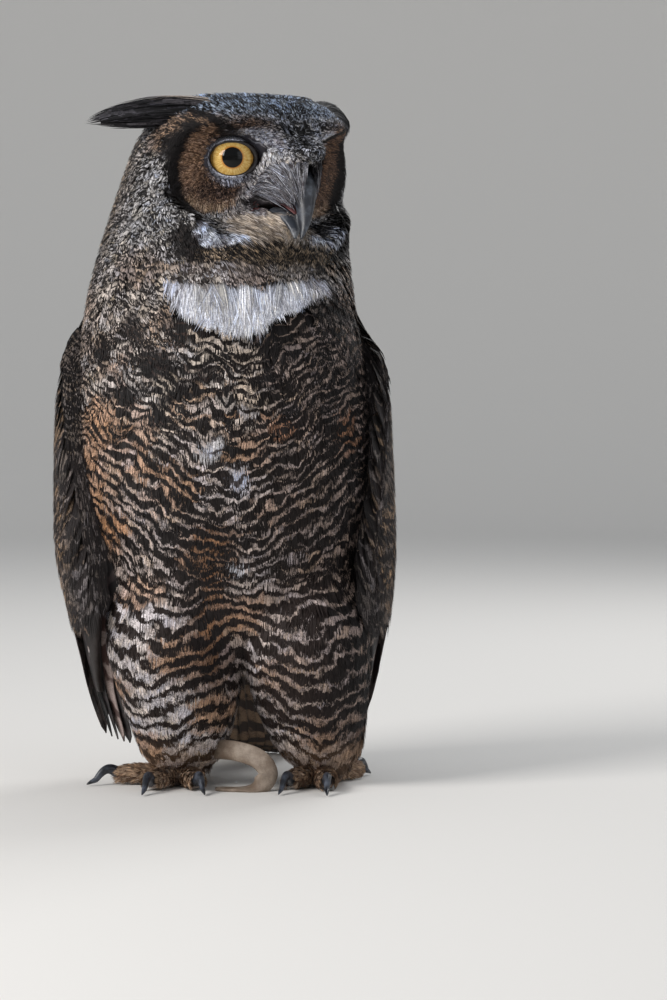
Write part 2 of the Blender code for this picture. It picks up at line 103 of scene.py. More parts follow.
def through(knots, x):
    """Smooth curve through rows of (place, values...): cubic pieces whose slopes are the mean ones."""
    table = np.array(knots, float)
    at, values = table[:, 0], table[:, 1:]
    slope = np.gradient(values, at, axis=0)
    x = np.clip(np.asarray(x, float), at[0], at[-1])
    i = np.clip(np.searchsorted(at, x, side="right") - 1, 0, len(at) - 2)
    step = (at[i + 1] - at[i])[..., None]
    t = (x - at[i])[..., None] / step
    found = (values[i] * (1 + 2 * t) * (1 - t) ** 2 + slope[i] * step * t * (1 - t) ** 2
             + values[i + 1] * t * t * (3 - 2 * t) + slope[i + 1] * step * t * t * (t - 1))
    return np.moveaxis(found, -1, 0)


def stations(rows, s):
    """The same curve with its knots evenly spaced: s runs from 0 to the number of rows less one."""
    return through([(i, *row) for i, row in enumerate(rows)], s)


def ease(x, low, high):
    """0 below low, 1 above high, and the cubic 3t^2 - 2t^3 between."""
    t = np.clip((np.asarray(x, float) - low) / (high - low), 0, 1)
    return t * t * (3 - 2 * t)


def hump(distance, width):
    """A bell: e to the minus square of distance over width."""
    return np.exp(-((distance / width) ** 2))


def lesser(a, b, blend):
    """The lesser of two values, rounded off where they are within about the blend of each other."""
    return -blend * np.logaddexp(-a / blend, -b / blend)


def circle(count):
    """Angles evenly spaced over one turn."""
    return np.linspace(0, 2 * np.pi, count, endpoint=False)


def unit(v):
    """Each vector divided by its length."""
    return v / np.maximum(np.linalg.norm(v, axis=-1, keepdims=True), 1e-9)


def turned(p, q, z, turn, x=0.0, y=0.0):
    """p sideways and q forwards turned to the owl's left by an angle in radians, from the point x, y."""
    return np.stack([x + q * np.sin(turn) + p * np.cos(turn), y - q * np.cos(turn) + p * np.sin(turn),
                     z + 0 * p], axis=-1)


def place(p, q, z):
    """A point of the tube's frame at height z, turned as the tube is there and set on its middle line."""
    x, y, turn = through(AXIS, z)
    return turned(p, q, z, np.radians(turn), x, y)


def superellipse(a):
    """A ring's sideways and forward shares at angle a: sine and cosine raised to 2 over the roundness."""
    s, c = np.sin(a), np.cos(a)
    return np.sign(s) * np.abs(s) ** (2 / ROUNDNESS), np.sign(c) * np.abs(c) ** (2 / ROUNDNESS)


def face_depth(p, z, ring_q):
    """How far forward the face stands: a soft minimum of the ring and a sloping plane, plus muzzle, brow and
    disc rim as bells, less a hollow round the eye."""
    side = np.abs(p)
    chin = 340 + 16 * ease(side, 35, 75)
    open_face = ease(z, chin, chin + 30) * (1 - ease(z, 418, 444))
    plane = 44 - 0.38 * np.hypot(side, 4) + 45 * (1 - open_face)
    q = lesser(ring_q, plane, 4)
    (bp, bz), (ep, ez) = BROW
    run = np.clip(((side - bp) * (ep - bp) + (z - bz) * (ez - bz)) / ((ep - bp) ** 2 + (ez - bz) ** 2), 0, 1)
    to_brow = np.hypot(side - bp - run * (ep - bp), z - bz - run * (ez - bz))
    rim = np.hypot((side - DISC_P) / DISC_W, (z - DISC_Z) / DISC_H)
    to_eye = np.hypot(side - EYE_P - 5, z - EYE_Z + 1)
    muzzle = 20 * hump(p, 13) * ease(z, 350, 372) * (1 - ease(z, 408, 434))
    brow = 16 * (1 - 0.6 * run) * hump(to_brow, 12)
    return q + open_face * (muzzle + brow + 3.5 * hump((rim - 1.05) * 33, 7) - 3 * hump(to_eye, 17))


def body_point(s, a):
    """Trunk, neck and head: s runs up the rings and a round them from the front."""
    z, side, front, back = stations(RINGS, s)
    across, ahead = superellipse(a)
    p = side * across
    ring_q = np.where(ahead > 0, front, back) * ahead
    faced = ease(ahead, 0.02, 0.4) * ease(z, 336, 350)
    return place(p, ring_q + faced * (face_depth(p, z, ring_q) - ring_q), z)


def cloak_point(z, a, out=0.0):
    """The folded wings' surface at height z and angle a from the front, pushed out by out."""
    x, y, side, back = through(CLOAK, z)
    across, ahead = superellipse(a)
    p = (side + out) * across
    q = (np.where(ahead > 0, side * 0.86, back) + out) * ahead
    return turned(p, q, z, np.radians(BODY_TURN), x, y)


def leg_point(side, s, a, drawn_in=0):
    """A leg's ellipse at station s, at angle a from the front; drawn in by its coat's depth if that is 1."""
    x, y, z, wide, deep = stations(LEGS[side], s)
    slim = drawn_in * (6 - 1.5 * (1 - ease(z, 11, 40)))
    return np.stack([x + (wide - slim) * np.sin(a), y - (deep - slim) * np.cos(a), z + 0 * a], -1)


# The rows above as tables over the height. The girth, a half width to the power of the roundness, goes on
# falling below zero past both ends of the tube, so that the distance keeps growing there.
HEIGHTS = np.linspace(0, 480, 961)
AXIS_AT = through(AXIS, HEIGHTS) * np.array([[1], [1], [np.pi / 180]])
ring_z, ring_side, ring_front, ring_back = stations(RINGS, np.linspace(0.02, len(RINGS) - 1.02, 1500))
TOP_FALL, BOTTOM_FALL = 37 ** ROUNDNESS / 2, 44 ** ROUNDNESS / 5
GIRTH_AT = [
    np.interp(HEIGHTS, np.r_[0, ring_z, 480],
              np.r_[-70 * BOTTOM_FALL, ring_side ** ROUNDNESS, -30 * TOP_FALL]),
    np.interp(HEIGHTS, ring_z, ring_side / ring_front), np.interp(HEIGHTS, ring_z, ring_side / ring_back)]
LEG_AT = []
for rows in LEGS.values():
    x, y, z, wide, deep = stations(rows, np.linspace(6, 0, 200))
    LEG_AT.append([np.interp(HEIGHTS, z, row) for row in (x, y, wide, deep)])
CLOAK_AT = through(CLOAK, HEIGHTS)
WING_Z, WING_FRONT, WING_BACK = np.array(WING).T[:3]


def at_height(z, rows):
    """Each table's value at height z, by straight lines between its half-millimetre steps."""
    return [np.interp(z, HEIGHTS, row) for row in rows]


def tube_frame(X):
    """A point's place in the tube's own frame at its height: the turn and shift of place, undone."""
    x, y, turn = at_height(X[..., 2], AXIS_AT)
    dx, dy = X[..., 0] - x, X[..., 1] - y
    return dx * np.cos(turn) + dy * np.sin(turn), dx * np.sin(turn) - dy * np.cos(turn)


def beyond_oval(p, q, share, girth, size):
    """Roughly the distance out of a superellipse: the powers of p and of q times share, less the girth, over
    their slope."""
    n = ROUNDNESS
    return (np.abs(p) ** n + (share * np.abs(q)) ** n - girth) / (n * size ** (n - 1))


def form(X):
    """Roughly the distance out of the bird's form: out of the tube's superellipse with its face, then a soft
    minimum with the two legs' ellipses."""
    n, z = ROUNDNESS, X[..., 2]
    p, q = tube_frame(X)
    girth, ahead_share, behind_share = at_height(z, GIRTH_AT)
    room = np.maximum(girth - np.abs(p) ** n, 0)
    ring_q = room ** (1 / n) / ahead_share
    ahead = (room / np.maximum(girth, 1)) ** (1 / n)
    faced = ease(ahead, 0.02, 0.4) * ease(z, 336, 350) * ease(q, -12, 0)
    q = q - faced * (face_depth(p, z, ring_q) - ring_q)
    share = np.where(q > 0, ahead_share, behind_share)
    out = beyond_oval(p, q, share, girth, np.maximum(girth, 30 ** n) ** (1 / n))
    for rows in LEG_AT:
        x, y, wide, deep = at_height(z, rows)
        r = np.hypot(X[..., 0] - x, (X[..., 1] - y) * wide / deep)
        leg = (r * r - wide * wide) / (2 * wide) + 0.8 * np.maximum(z - 148, 0)
        out = lesser(out, leg, 4)
    return out


def cape(X):
    """Distance out of the wings' cloak, which ends softly above the shoulders and joins the form there."""
    z = X[..., 2]
    x, y, side, back = at_height(z, CLOAK_AT)
    c, s = np.cos(np.radians(BODY_TURN)), np.sin(np.radians(BODY_TURN))
    dx, dy = X[..., 0] - x, X[..., 1] - y
    p, q = dx * c + dy * s, dx * s - dy * c
    share = np.where(q > 0, 1 / 0.86, side / back)
    out = beyond_oval(p, q, share, side ** ROUNDNESS, side) + 0.5 * np.maximum(z - 290, 0)
    return np.where(z > 240, lesser(out, form(X), 5), out)


def outward(shape, X):
    """Distance out of a shape and the unit direction away from it, from its change over half a millimetre."""
    here = shape(X)
    slope = np.stack([shape(X + 0.5 * step) - here for step in np.eye(3)], -1) / 0.5
    size = np.maximum(np.linalg.norm(slope, axis=-1, keepdims=True), 1e-6)
    return here / size[..., 0], slope / size


def settle(shape, X, level, rounds=2):
    """Points moved along the outward direction until they stand at the given distance from the shape."""
    for _ in range(rounds):
        far, out = outward(shape, X)
        X = X + np.clip(level - far, -12, 12)[..., None] * out
    return X


def face_out(made):
    """Turns every face outwards."""
    work = bmesh.new()
    work.from_mesh(made.data)
    bmesh.ops.recalc_face_normals(work, faces=work.faces)
    work.to_mesh(made.data)
    work.free()


def new_mesh(name, points, corners, starts):
    """An object from points in millimetres, the faces' corners in a row, and where each face starts."""
    mesh = bpy.data.meshes.new(name)
    mesh.vertices.add(len(points))
    mesh.vertices.foreach_set("co", ((points - MIDDLE) * MM).astype(np.float32).ravel())
    mesh.loops.add(len(corners))
    mesh.loops.foreach_set("vertex_index", corners.astype(np.int32))
    mesh.polygons.add(len(starts))
    mesh.polygons.foreach_set("loop_start", starts.astype(np.int32))
    mesh.update(calc_edges=True)
    mesh.validate()
    mesh.shade_smooth()
    made = bpy.data.objects.new(name, mesh)
    bpy.context.scene.collection.objects.link(made)
    return made


def mesh_of(name, points, *faces):
    """A mesh from points and tables of faces, a face's corners to a row."""
    sizes = np.concatenate([np.full(len(rows), rows.shape[1]) for rows in faces])
    corners = np.concatenate([rows.ravel() for rows in faces])
    return new_mesh(name, points.reshape(-1, 3), corners, np.cumsum(sizes) - sizes)


def grid_faces(rows, columns, closed=True):
    """Corners of the quads of a grid of points, its columns joined round if closed."""
    i, j = np.meshgrid(np.arange(rows - 1), np.arange(columns if closed else columns - 1), indexing="ij")
    k = (j + 1) % columns
    corners = [i * columns + j, i * columns + k, (i + 1) * columns + k, (i + 1) * columns + j]
    return np.stack(corners, -1).reshape(-1, 4)


def capped(rings):
    """Points and faces of a closed tube: each end drawn to a middle point by triangles."""
    rings = np.asarray(rings, float)
    rows, columns = rings.shape[:2]
    ends = rings[[0, -1]].mean(axis=1)
    points = np.concatenate([rings.reshape(-1, 3), ends])
    j = np.arange(columns)
    k = (j + 1) % columns
    low = np.stack([k, j, 0 * j + rows * columns], -1)
    high = np.stack([(rows - 1) * columns + j, (rows - 1) * columns + k, 0 * j + rows * columns + 1], -1)
    return points, grid_faces(rows, columns), np.concatenate([low, high])


def tube_object(name, rings):
    """A closed smooth tube as an object, its faces turned outwards."""
    made = mesh_of(name, *capped(rings))
    face_out(made)
    return made


def hoop_object(name, rings):
    """A surface closed both ways, its last ring joined to its first, its faces turned outwards."""
    rows, columns = rings.shape[:2]
    j = np.arange(columns)
    k = (j + 1) % columns
    last = (rows - 1) * columns
    made = mesh_of(name, rings, grid_faces(rows, columns), np.stack([last + j, last + k, k, j], -1))
    face_out(made)
    return made


def fit(made, material, slot, *nodes):
    """Finishes a piece: its material, the body that it rides on and the nodes that it replaces; the slot is
    not used.
    """
    made.data.materials.append(material)
    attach(made, "root")
    if nodes:
        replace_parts(made, *nodes)
    return made


def upright_ring(x, y, radius, height, a):
    """Points at angles a round an upright line."""
    return np.stack([x + radius * np.cos(a), y + radius * np.sin(a), height + 0 * a], -1)


def tube(middle, wide, deep, around):
    """Elliptical rings along a path that isn't upright: wide is the half width to its sides, deep the half
    depth square to that."""
    along = unit(np.gradient(middle, axis=0))
    across = unit(np.cross(along, [0, 0, 1.0]))
    over = unit(np.cross(across, along))
    a = circle(around)
    return (middle[:, None, :] + (wide[:, None] * np.cos(a))[..., None] * across[:, None, :]
            + (deep[:, None] * np.sin(a))[..., None] * over[:, None, :])


def toe_radius(t):
    """A toe's radius at the share t of its length: a taper with two soft swellings."""
    return 8.2 - 2.0 * t + 0.5 * np.sin(3.2 * np.pi * t)


def toe_tube(foot, end, shrink, count=14):
    """A toe on the floor from the pad to its end, its radius less shrink, flat underneath."""
    t = np.linspace(0.0, 1, count)
    radius = toe_radius(t) - shrink
    radius[-1] *= 0.8
    foot, end = np.array(foot, float), np.array(end, float)
    middle = np.column_stack([foot + (end - foot) * t[:, None], 7.4 - 1.6 * t])
    rings = tube(middle, radius, radius, count)
    rings[..., 2] = np.maximum(rings[..., 2], 0)
    return rings


def wing_tube(hand, inset, rows=20, around=24):
    """The folded wing's flesh: a crescent at each height, its outer face drawn in by the inset."""
    heights = np.linspace(60, 294, rows)
    front, back, thick = through(WING, heights)
    half = around // 2
    turn = np.concatenate([np.linspace(0, 1, half), np.linspace(1, 0, half)])
    outer = np.concatenate([np.ones(half), np.zeros(half)])
    angle = front[:, None] + 3 + turn * (back - front - 6)[:, None]
    edge = np.sqrt(np.clip(1 - (2 * turn - 1) ** 4, 0, 1))
    depth = np.where(outer > 0, -inset + 0 * angle, -inset - thick[:, None] * (0.3 + 0.7 * edge))
    return cloak_point(heights[:, None] + 0 * angle, hand * np.radians(angle), depth)


def mouth_slit(side, z, q):
    """1 in the open gape, 0 outside: a wedge that widens from its corner under the eye towards the bill."""
    t = np.clip((side - 7) / 15, 0, 1)
    open_by = 0.6 + 4.6 * (1 - t)
    within = 1 - ease(np.abs(z - 373.3 - 3.6 * t) / open_by, 0.7, 1.35)
    return within * (1 - ease(side, 20, 22)) * ease(q, 28, 34)


def coat_depth(X):
    """How far the skin lies under the coat's outside: most on the trunk, least on the face and lower legs."""
    z = X[..., 2]
    p, q = tube_frame(X)
    side = np.abs(p)
    face = ease(z, 350, 370) * ease(q, 5, 25)
    socket = hump(np.hypot(side - IRIS_P, z - EYE_Z), 21) * ease(q, 5, 15)
    soft = 9 - 3 * ease(z, 300, 350) - 1.4 * face - 3 * (1 - ease(z, 30, 90))
    return soft + 4.5 * socket + 9 * mouth_slit(side, z, q)


def make_skin():
    """Tubes for body, legs, feet, toes and wings, joined by a voxel remesh into one surface and smoothed."""
    X = body_point(*np.meshgrid(np.linspace(0.4, 14.93, 200), circle(150), indexing="ij"))
    parts = [settle(form, X, -coat_depth(X), 3)]
    shank = [(0.0, 11), (1.5, 13), (6, 13.4), (9, 12.4), (14.5, 10.2), (24, 9.8), (40, 10)]
    for side, hand in SIDES.items():
        parts.append(leg_point(side, *np.meshgrid(np.linspace(0, 6, 50), circle(40), indexing="ij"), 1))
        parts.append(wing_tube(hand, 6.5))
        parts.append([upright_ring(*FEET[side], r, h, circle(24)) for h, r in shank])
        parts += [toe_tube(FEET[side], end, 1.2) for end, _ in TOES[side].values()]
    points, faces, base = [], [], 0
    for rings in parts:
        found, quads, ends = capped(rings)
        points.append(found)
        faces += [quads + base, ends + base]
        base += len(found)
    made = mesh_of("skin", np.concatenate(points), *faces)
    face_out(made)
    remesh = made.modifiers.new("one surface", "REMESH")
    remesh.mode, remesh.voxel_size, remesh.use_smooth_shade = "VOXEL", 2.4 * MM, True
    smooth = made.modifiers.new("soft", "SMOOTH")
    smooth.factor, smooth.iterations = 0.5, 3
    depsgraph = bpy.context.evaluated_depsgraph_get()
    final = bpy.data.meshes.new_from_object(made.evaluated_get(depsgraph))
    made.modifiers.clear()
    made.data = final
    final.shade_smooth()
    return made


skin = make_skin()


# ==== Markings ====
# Every feather is a strand of horn that carries its own bars. What a place on the bird wears is worked
# out once here, for skin and coat alike: a light and a dark colour, how much is dark, how wide the bars are.
def tone(red, green, blue):
    """A colour given as it looks on a screen, 0 to 255, turned to the light that it reflects."""
    c = np.array([red, green, blue]) / 255
    return np.where(c <= 0.04045, c / 12.92, ((c + 0.055) / 1.055) ** 2.4)


INK, UMBER, CREAM = (23, 19, 19), (50, 36, 30), (196, 178, 158)
# Black blotches of the breast: x, height, half width, half height
BLOTCHES = [
    (-33, 297, 9, 11), (-50, 274, 13, 10), (-66, 254, 8, 7), (-35, 252, 10, 7), (-21, 266, 7, 7),
    (-83, 281, 6, 7), (-62, 296, 8, 8), (-49, 239, 7, 4), (62, 300, 15, 15), (36, 280, 12, 11),
    (57, 274, 10, 8), (16, 285, 9, 6), (76, 266, 8, 13), (50, 255, 11, 6), (33, 241, 10, 4), (63, 241, 9, 7),
    (22, 263, 6, 3),
]
# White places down the middle and rust ones on the flanks and the breast, in the same order
PALE_PATCHES = [(-10, 216, 7, 8), (2, 200, 4, 9), (4, 141, 3, 11)]
RUST_PATCHES = [(-84, 234, 13, 17), (-90, 192, 11, 24), (-54, 207, 15, 7), (-14, 240, 20, 5),
                (32, 232, 13, 7), (74, 230, 8, 16)]
# The parting down the middle of the underparts: height, x
PARTING = [(60, 6), (94, 5), (146, 2), (198, 2), (231, -5), (300, -7)]


def blotted(x, z, places):
    """1 inside any of the ellipses, 0 outside, with a soft edge."""
    found = np.zeros_like(x)
    for cx, cz, wide, high in places:
        found = np.maximum(found, 1 - ease(np.hypot((x - cx) / wide, (z - cz) / high), 0.65, 1.35))
    return found


def off_parting(x, z):
    """How far a place lies to the left of the parting."""
    return x - np.interp(z, *np.array(PARTING).T)


class Marks:
    """The markings of a row of places: each paint call lays one plumage over the last, by its mask."""

    def __init__(self, count):
        """Cream with umber bars, at every place."""
        self.light, self.dark = np.tile(tone(*CREAM), (count, 1)), np.tile(tone(*UMBER), (count, 1))
        self.share, self.period = np.full(count, 0.5), np.full(count, 9.5)
        self.jitter = np.full(count, 0.15)

    def paint(self, mask, **values):
        """Moves each named value towards the given one by the mask; light and dark are screen colours."""
        mask = np.clip(mask + 0 * self.share, 0, 1)
        for name, value in values.items():
            old = getattr(self, name)
            if name in ("light", "dark"):
                setattr(self, name, old + mask[:, None] * (tone(*value) - old))
            else:
                setattr(self, name, old + mask * (value - old))


def body_marks(X):
    """Markings of trunk, neck, legs and head at points in millimetres."""
    x, z = X[:, 0], X[:, 2]
    q = tube_frame(X)[1]
    m = Marks(len(X))
    front = ease(-X[:, 1], -45, -10)
    # belly: dense bars, more dark than pale, with buff patches that take over on the flanks
    m.paint(1 - front, light=(150, 128, 104), dark=UMBER, share=0.55, period=8.0, jitter=0.3)
    flank = ease(np.abs(x + 4), 36, 74) * ease(z, 60, 110) * (1 - ease(z, 280, 300))
    buff = ease(np.sin(x * 0.10 + z * 0.06) + np.sin(z * 0.12 - x * 0.07 + 1), 0.1, 1.1)
    m.paint(front, light=(204, 190, 184), dark=(28, 21, 19), share=0.66, period=8.6, jitter=0.21)
    m.paint(front * buff * (0.75 - 0.3 * flank), light=(184, 140, 104))
    m.paint(flank * (0.3 + 0.5 * buff), light=(188, 138, 98))
    m.paint(flank * (1 - ease(x, -30, 0)), share=0.55)
    # breast: wavy white and buff bars round black blotches
    breast = ease(z, 222, 245) * (1 - ease(z, 300, 312)) * front
    m.paint(breast, share=0.6, period=7.6, jitter=0.42)
    m.paint(breast * (1 - ease(np.abs(x + 8), 40, 70)) * (1 - 0.6 * buff), light=(208, 192, 178))
    m.paint(breast * (1 - ease(x, -90, -46)), light=(190, 172, 160), period=6.0, jitter=0.5)
    mottle = ease(np.sin(x * 0.27 + z * 0.16 + 2) + np.sin(z * 0.23 - x * 0.21), 0.3, 1.3)
    m.paint(0.8 * breast * mottle, share=0.82)
    scaled = np.sin(x * 0.42 + 1.4 * np.sin(z * 0.13)) * np.sin(z * 0.37 + 1.3 * np.sin(x * 0.15) + 1)
    scaled = ease(scaled, 0.15, 0.5)
    m.paint(breast * scaled * (1 - ease(x, 0, 40)), light=(212, 202, 196), share=0.38)
    m.paint(breast * ease(x, 0, 40) * scaled, share=0.6)
    rusty = 0.85 * blotted(x, z, RUST_PATCHES) * front
    m.paint(rusty, light=(192, 148, 114), share=0.52)
    blot = blotted(x, z, BLOTCHES) * front
    m.paint(blot, light=(66, 50, 44), dark=INK, share=0.86)
    # painted shade: a dark line down the parting, the groove where the feathers of the two sides meet
    parting = hump(off_parting(x, z) - 3, 2.5) * ease(z, 130, 160) * (1 - ease(z, 285, 295)) * front
    m.paint(0.8 * parting, dark=INK, share=0.85)
    # legs: regular bars, more white than dark
    leg = (1 - ease(z, 118, 160)) * front
    m.paint(leg, light=(220, 211, 210), dark=(36, 26, 23), share=0.49, period=10.6, jitter=0.07)
    m.paint(0.8 * leg * buff, light=(190, 146, 110))
    # painted shade: a darker band between the legs, up the inner side of the right leg
    inner = hump(x + 15, 19) * ease(z, 45, 80) * (1 - ease(z, 165, 185)) * front
    m.paint(inner, light=(132, 96, 70), dark=(26, 19, 18), share=0.74)
    for much, cx, cz, wide, high, share in ((0.75, -46, 170, 24, 28, 0.8), (0.7, -40, 256, 36, 24, 0.8),
                                            (0.6, -20, 140, 17, 30, 0.86)):
        m.paint(much * hump(np.hypot((x - cx) / wide, (z - cz) / high), 1) * front, dark=INK, share=share)
    m.paint(0.9 * blotted(x, z, PALE_PATCHES) * front, light=(214, 216, 226), dark=(80, 74, 76), share=0.12)
    # the left side is darker all the way down, mostly as painted shade of the side turned away from the
    # light; its rust patches get a darker, shaded copy
    below = front * (1 - ease(z, 300, 320))
    m.paint(below * ease(x, 44, 84), light=(112, 84, 64), dark=INK)
    m.paint(0.85 * below * ease(x, 4, 34) * ease(z, 20, 60), light=(166, 148, 140), share=0.79)
    m.paint(rusty * ease(x, 14, 28), light=(148, 104, 76), share=0.66)
    m.paint((1 - ease(z, 18, 34)) * (1 - 0.5 * front), light=(170, 140, 112), dark=(104, 80, 60), share=0.3)
    # neck: small black dots on white and buff, rust between
    neck = ease(z, 292, 312) * (1 - ease(z, 420, 432))
    m.paint(neck, light=(194, 184, 178), dark=(30, 24, 23), share=0.55, period=5.2, jitter=0.5)
    m.paint(0.5 * neck * buff, light=(166, 128, 100))
    m.paint(neck * ease(-q, -5, 40), light=(148, 130, 114), dark=(34, 27, 26), share=0.62, period=5.5)
    m.paint(blot * neck, light=(62, 48, 42), dark=INK, share=0.85)
    return m


def bar_place(X):
    """Height along the bars, in millimetres: they sag like a smile across the belly and across each leg."""
    x, y, z = X[..., 0], X[..., 1], X[..., 2]
    smile = np.hypot(x + 3, 48) - 22
    leg = lesser(0.7 * np.hypot(x + 48, 14), 0.62 * np.hypot(x - 58, 20), 8) + 18
    low = 1 - ease(z, 55, 185)
    behind = ease(y, 0, 40)
    sway = 2.0 * np.sin(x / 9.0 + z / 23) + 1.6 * np.sin(x / 5.1 - z / 11) + 2.2 * np.sin(x / 17 - z / 31 + 2)
    step = 4.0 * ease(off_parting(x, z), -1, 2) * ease(z, 110, 150)
    broken = 1.3 * np.sin(x / 3.7 + z / 6.1) + 1.2 * np.sin(x / 2.7 - z / 5.3 + 1)
    broken = broken * (0.6 * ease(z, 140, 170) + 0.6 * ease(z, 222, 250))
    return z - (1 - behind) * (smile * (1 - low) + leg * low - step - broken) + sway


def node(tree, kind, inputs=None, **settings):
    """A shader node with its settings and its input values or links."""
    made = tree.nodes.new(kind)
    for key, value in settings.items():
        setattr(made, key, value)
    for key, value in (inputs or {}).items():
        if isinstance(value, bpy.types.NodeSocket):
            tree.links.new(value, made.inputs[key])
        else:
            made.inputs[key].default_value = value
    return made


def math_node(tree, operation, *values):
    """A sum, product or the like of one to three values."""
    return node(tree, "ShaderNodeMath", dict(enumerate(values)), operation=operation).outputs[0]


def vector_node(tree, operation, result, *values):
    """The same for vectors."""
    return node(tree, "ShaderNodeVectorMath", dict(enumerate(values)), operation=operation).outputs[result]


def mixed(tree, factor, a, b, blend="MIX"):
    """Colour a turned to colour b by the factor."""
    return node(tree, "ShaderNodeMix", {0: factor, 6: a, 7: b}, data_type="RGBA", blend_type=blend).outputs[2]


def ramp(tree, value, low, high, to_low=0.0, to_high=1.0):
    """A smooth step from to_low to to_high as the value goes from low to high."""
    given = {"Value": value, "From Min": low, "From Max": high, "To Min": to_low, "To Max": to_high}
    return node(tree, "ShaderNodeMapRange", given, interpolation_type="SMOOTHSTEP").outputs[0]


def noise(tree, where, scale, detail=2.0, rough=0.5):
    """Soft noise of a grain: scale waves to the metre."""
    given = {"Vector": where, "Scale": scale, "Detail": detail, "Roughness": rough}
    return node(tree, "ShaderNodeTexNoise", given).outputs[0]


def mesh_place(tree):
    """A point's place in its own mesh, in metres."""
    return node(tree, "ShaderNodeTexCoord").outputs["Object"]


def bumped(tree, shader, height, strength, distance):
    """Feeds a height to the shader's normal."""
    bump = node(tree, "ShaderNodeBump", {"Strength": strength, "Distance": distance, "Height": height})
    tree.links.new(bump.outputs[0], shader.inputs["Normal"])


def new_group(name, inputs, outputs):
    """A shader group with named sockets: {name: (kind, value)} for inputs, {name: kind} for outputs."""
    tree = bpy.data.node_groups.new(name, "ShaderNodeTree")
    for key, (kind, value) in inputs.items():
        made = tree.interface.new_socket(key, in_out="INPUT", socket_type="NodeSocket" + kind)
        made.default_value = value
    for key, kind in outputs.items():
        tree.interface.new_socket(key, in_out="OUTPUT", socket_type="NodeSocket" + kind)
    return tree, tree.nodes.new("NodeGroupInput"), tree.nodes.new("NodeGroupOutput")


def barred_feather():
    """Bars: a triangle wave of the phase, bent by two noises, cut at the dark share. Worm-like ink lines
    cross the pale bars, the shaft is dark, and each strand has a tone of its own; towards its root it is
    darker, partly grey down and partly painted shade under the feathers over it."""
    numbers = {"Phase": 0.0, "Dark share": 0.5, "Softness": 0.14, "Waver": 0.5, "Across": 0.5, "Along": 0.5,
               "Chance": 0.5, "Specks": 0.35, "Grain": 190.0, "Patchiness": 0.3, "Shaft": 0.6}
    sockets = {key: ("Float", value) for key, value in numbers.items()}
    sockets.update(Light=("Color", (1, 1, 1, 1)), Dark=("Color", (0, 0, 0, 1)))
    tree, given, gives = new_group("barred feather", sockets, {"Colour": "Color", "Height": "Float"})
    where = mesh_place(tree)
    g = given.outputs

    def sum_of(a, b):
        """a plus b."""
        return math_node(tree, "ADD", a, b)

    def less(a, b):
        """a less b."""
        return math_node(tree, "SUBTRACT", a, b)

    def times(a, b):
        """a times b."""
        return math_node(tree, "MULTIPLY", a, b)

    def scaled_sum(a, b, c):
        """a times b, plus c."""
        return math_node(tree, "MULTIPLY_ADD", a, b, c)

    waver = times(less(noise(tree, where, g["Grain"], 2), 0.5), g["Waver"])
    sway = scaled_sum(noise(tree, where, 38, 1), 1.5, -0.75)
    phase = sum_of(sum_of(g["Phase"], waver), scaled_sum(g["Chance"], 0.05, sway))
    wave = times(math_node(tree, "PINGPONG", phase, 0.5), 2.0)
    share = scaled_sum(less(noise(tree, where, 75, 3, 0.6), 0.5), g["Patchiness"], g["Dark share"])
    pale = ramp(tree, wave, less(share, g["Softness"]), sum_of(share, g["Softness"]))
    flatter = vector_node(tree, "MULTIPLY", 0, where, (1.0, 1.0, 1.9))
    ridge = math_node(tree, "ABSOLUTE", less(noise(tree, flatter, 330, 1), 0.5))
    worm = times(ramp(tree, ridge, 0.012, 0.05, 1.0, 0.0), ramp(tree, noise(tree, where, 110, 1), 0.42, 0.55))
    specks = math_node(tree, "MAXIMUM", worm, ramp(tree, noise(tree, where, 900, 2, 0.6), 0.54, 0.66))
    shaft = ramp(tree, math_node(tree, "ABSOLUTE", g["Across"]), 0.03, 0.09, 1.0, 0.0)
    pale = times(pale, less(1.0, times(specks, g["Specks"])))
    pale = times(pale, less(1.0, times(shaft, g["Shaft"])))
    # painted shade: each strand darker towards its root, partly its grey down and partly the shade of the
    # feathers over it; its own tone varies at random
    shade = times(scaled_sum(g["Chance"], 0.3, 0.85), ramp(tree, g["Along"], 0.0, 0.55, 0.55, 1.0))
    grey = node(tree, "ShaderNodeCombineColor", {0: shade, 1: shade, 2: shade}).outputs[0]
    colour = mixed(tree, 1.0, mixed(tree, pale, g["Dark"], g["Light"]), grey, "MULTIPLY")
    tree.links.new(colour, gives.inputs["Colour"])
    tree.links.new(noise(tree, where, 1500, 1), gives.inputs["Height"])
    return tree


BARRED = barred_feather()


def attribute(tree, name, output="Vector"):
    """What the mesh carries under a name."""
    return node(tree, "ShaderNodeAttribute", attribute_name=name).outputs[output]


def new_material(name):
    """A material, its node tree and its Principled shader."""
    material = bpy.data.materials.new(name)
    material.use_nodes = True
    return material, material.node_tree, material.node_tree.nodes["Principled BSDF"]


def two_toned(name, first, second, noise_at, span, bump, roughness):
    """Skin or flesh: two colours mixed by a noise, within the span if one is given, and bumped by it."""
    material, tree, shader = new_material(name)
    height = noise(tree, mesh_place(tree), *noise_at)
    mask = ramp(tree, height, *span) if span else height
    tree.links.new(mixed(tree, mask, (*tone(*first), 1), (*tone(*second), 1)), shader.inputs["Base Color"])
    bumped(tree, shader, height, *bump)
    shader.inputs["Roughness"].default_value = roughness
    return material


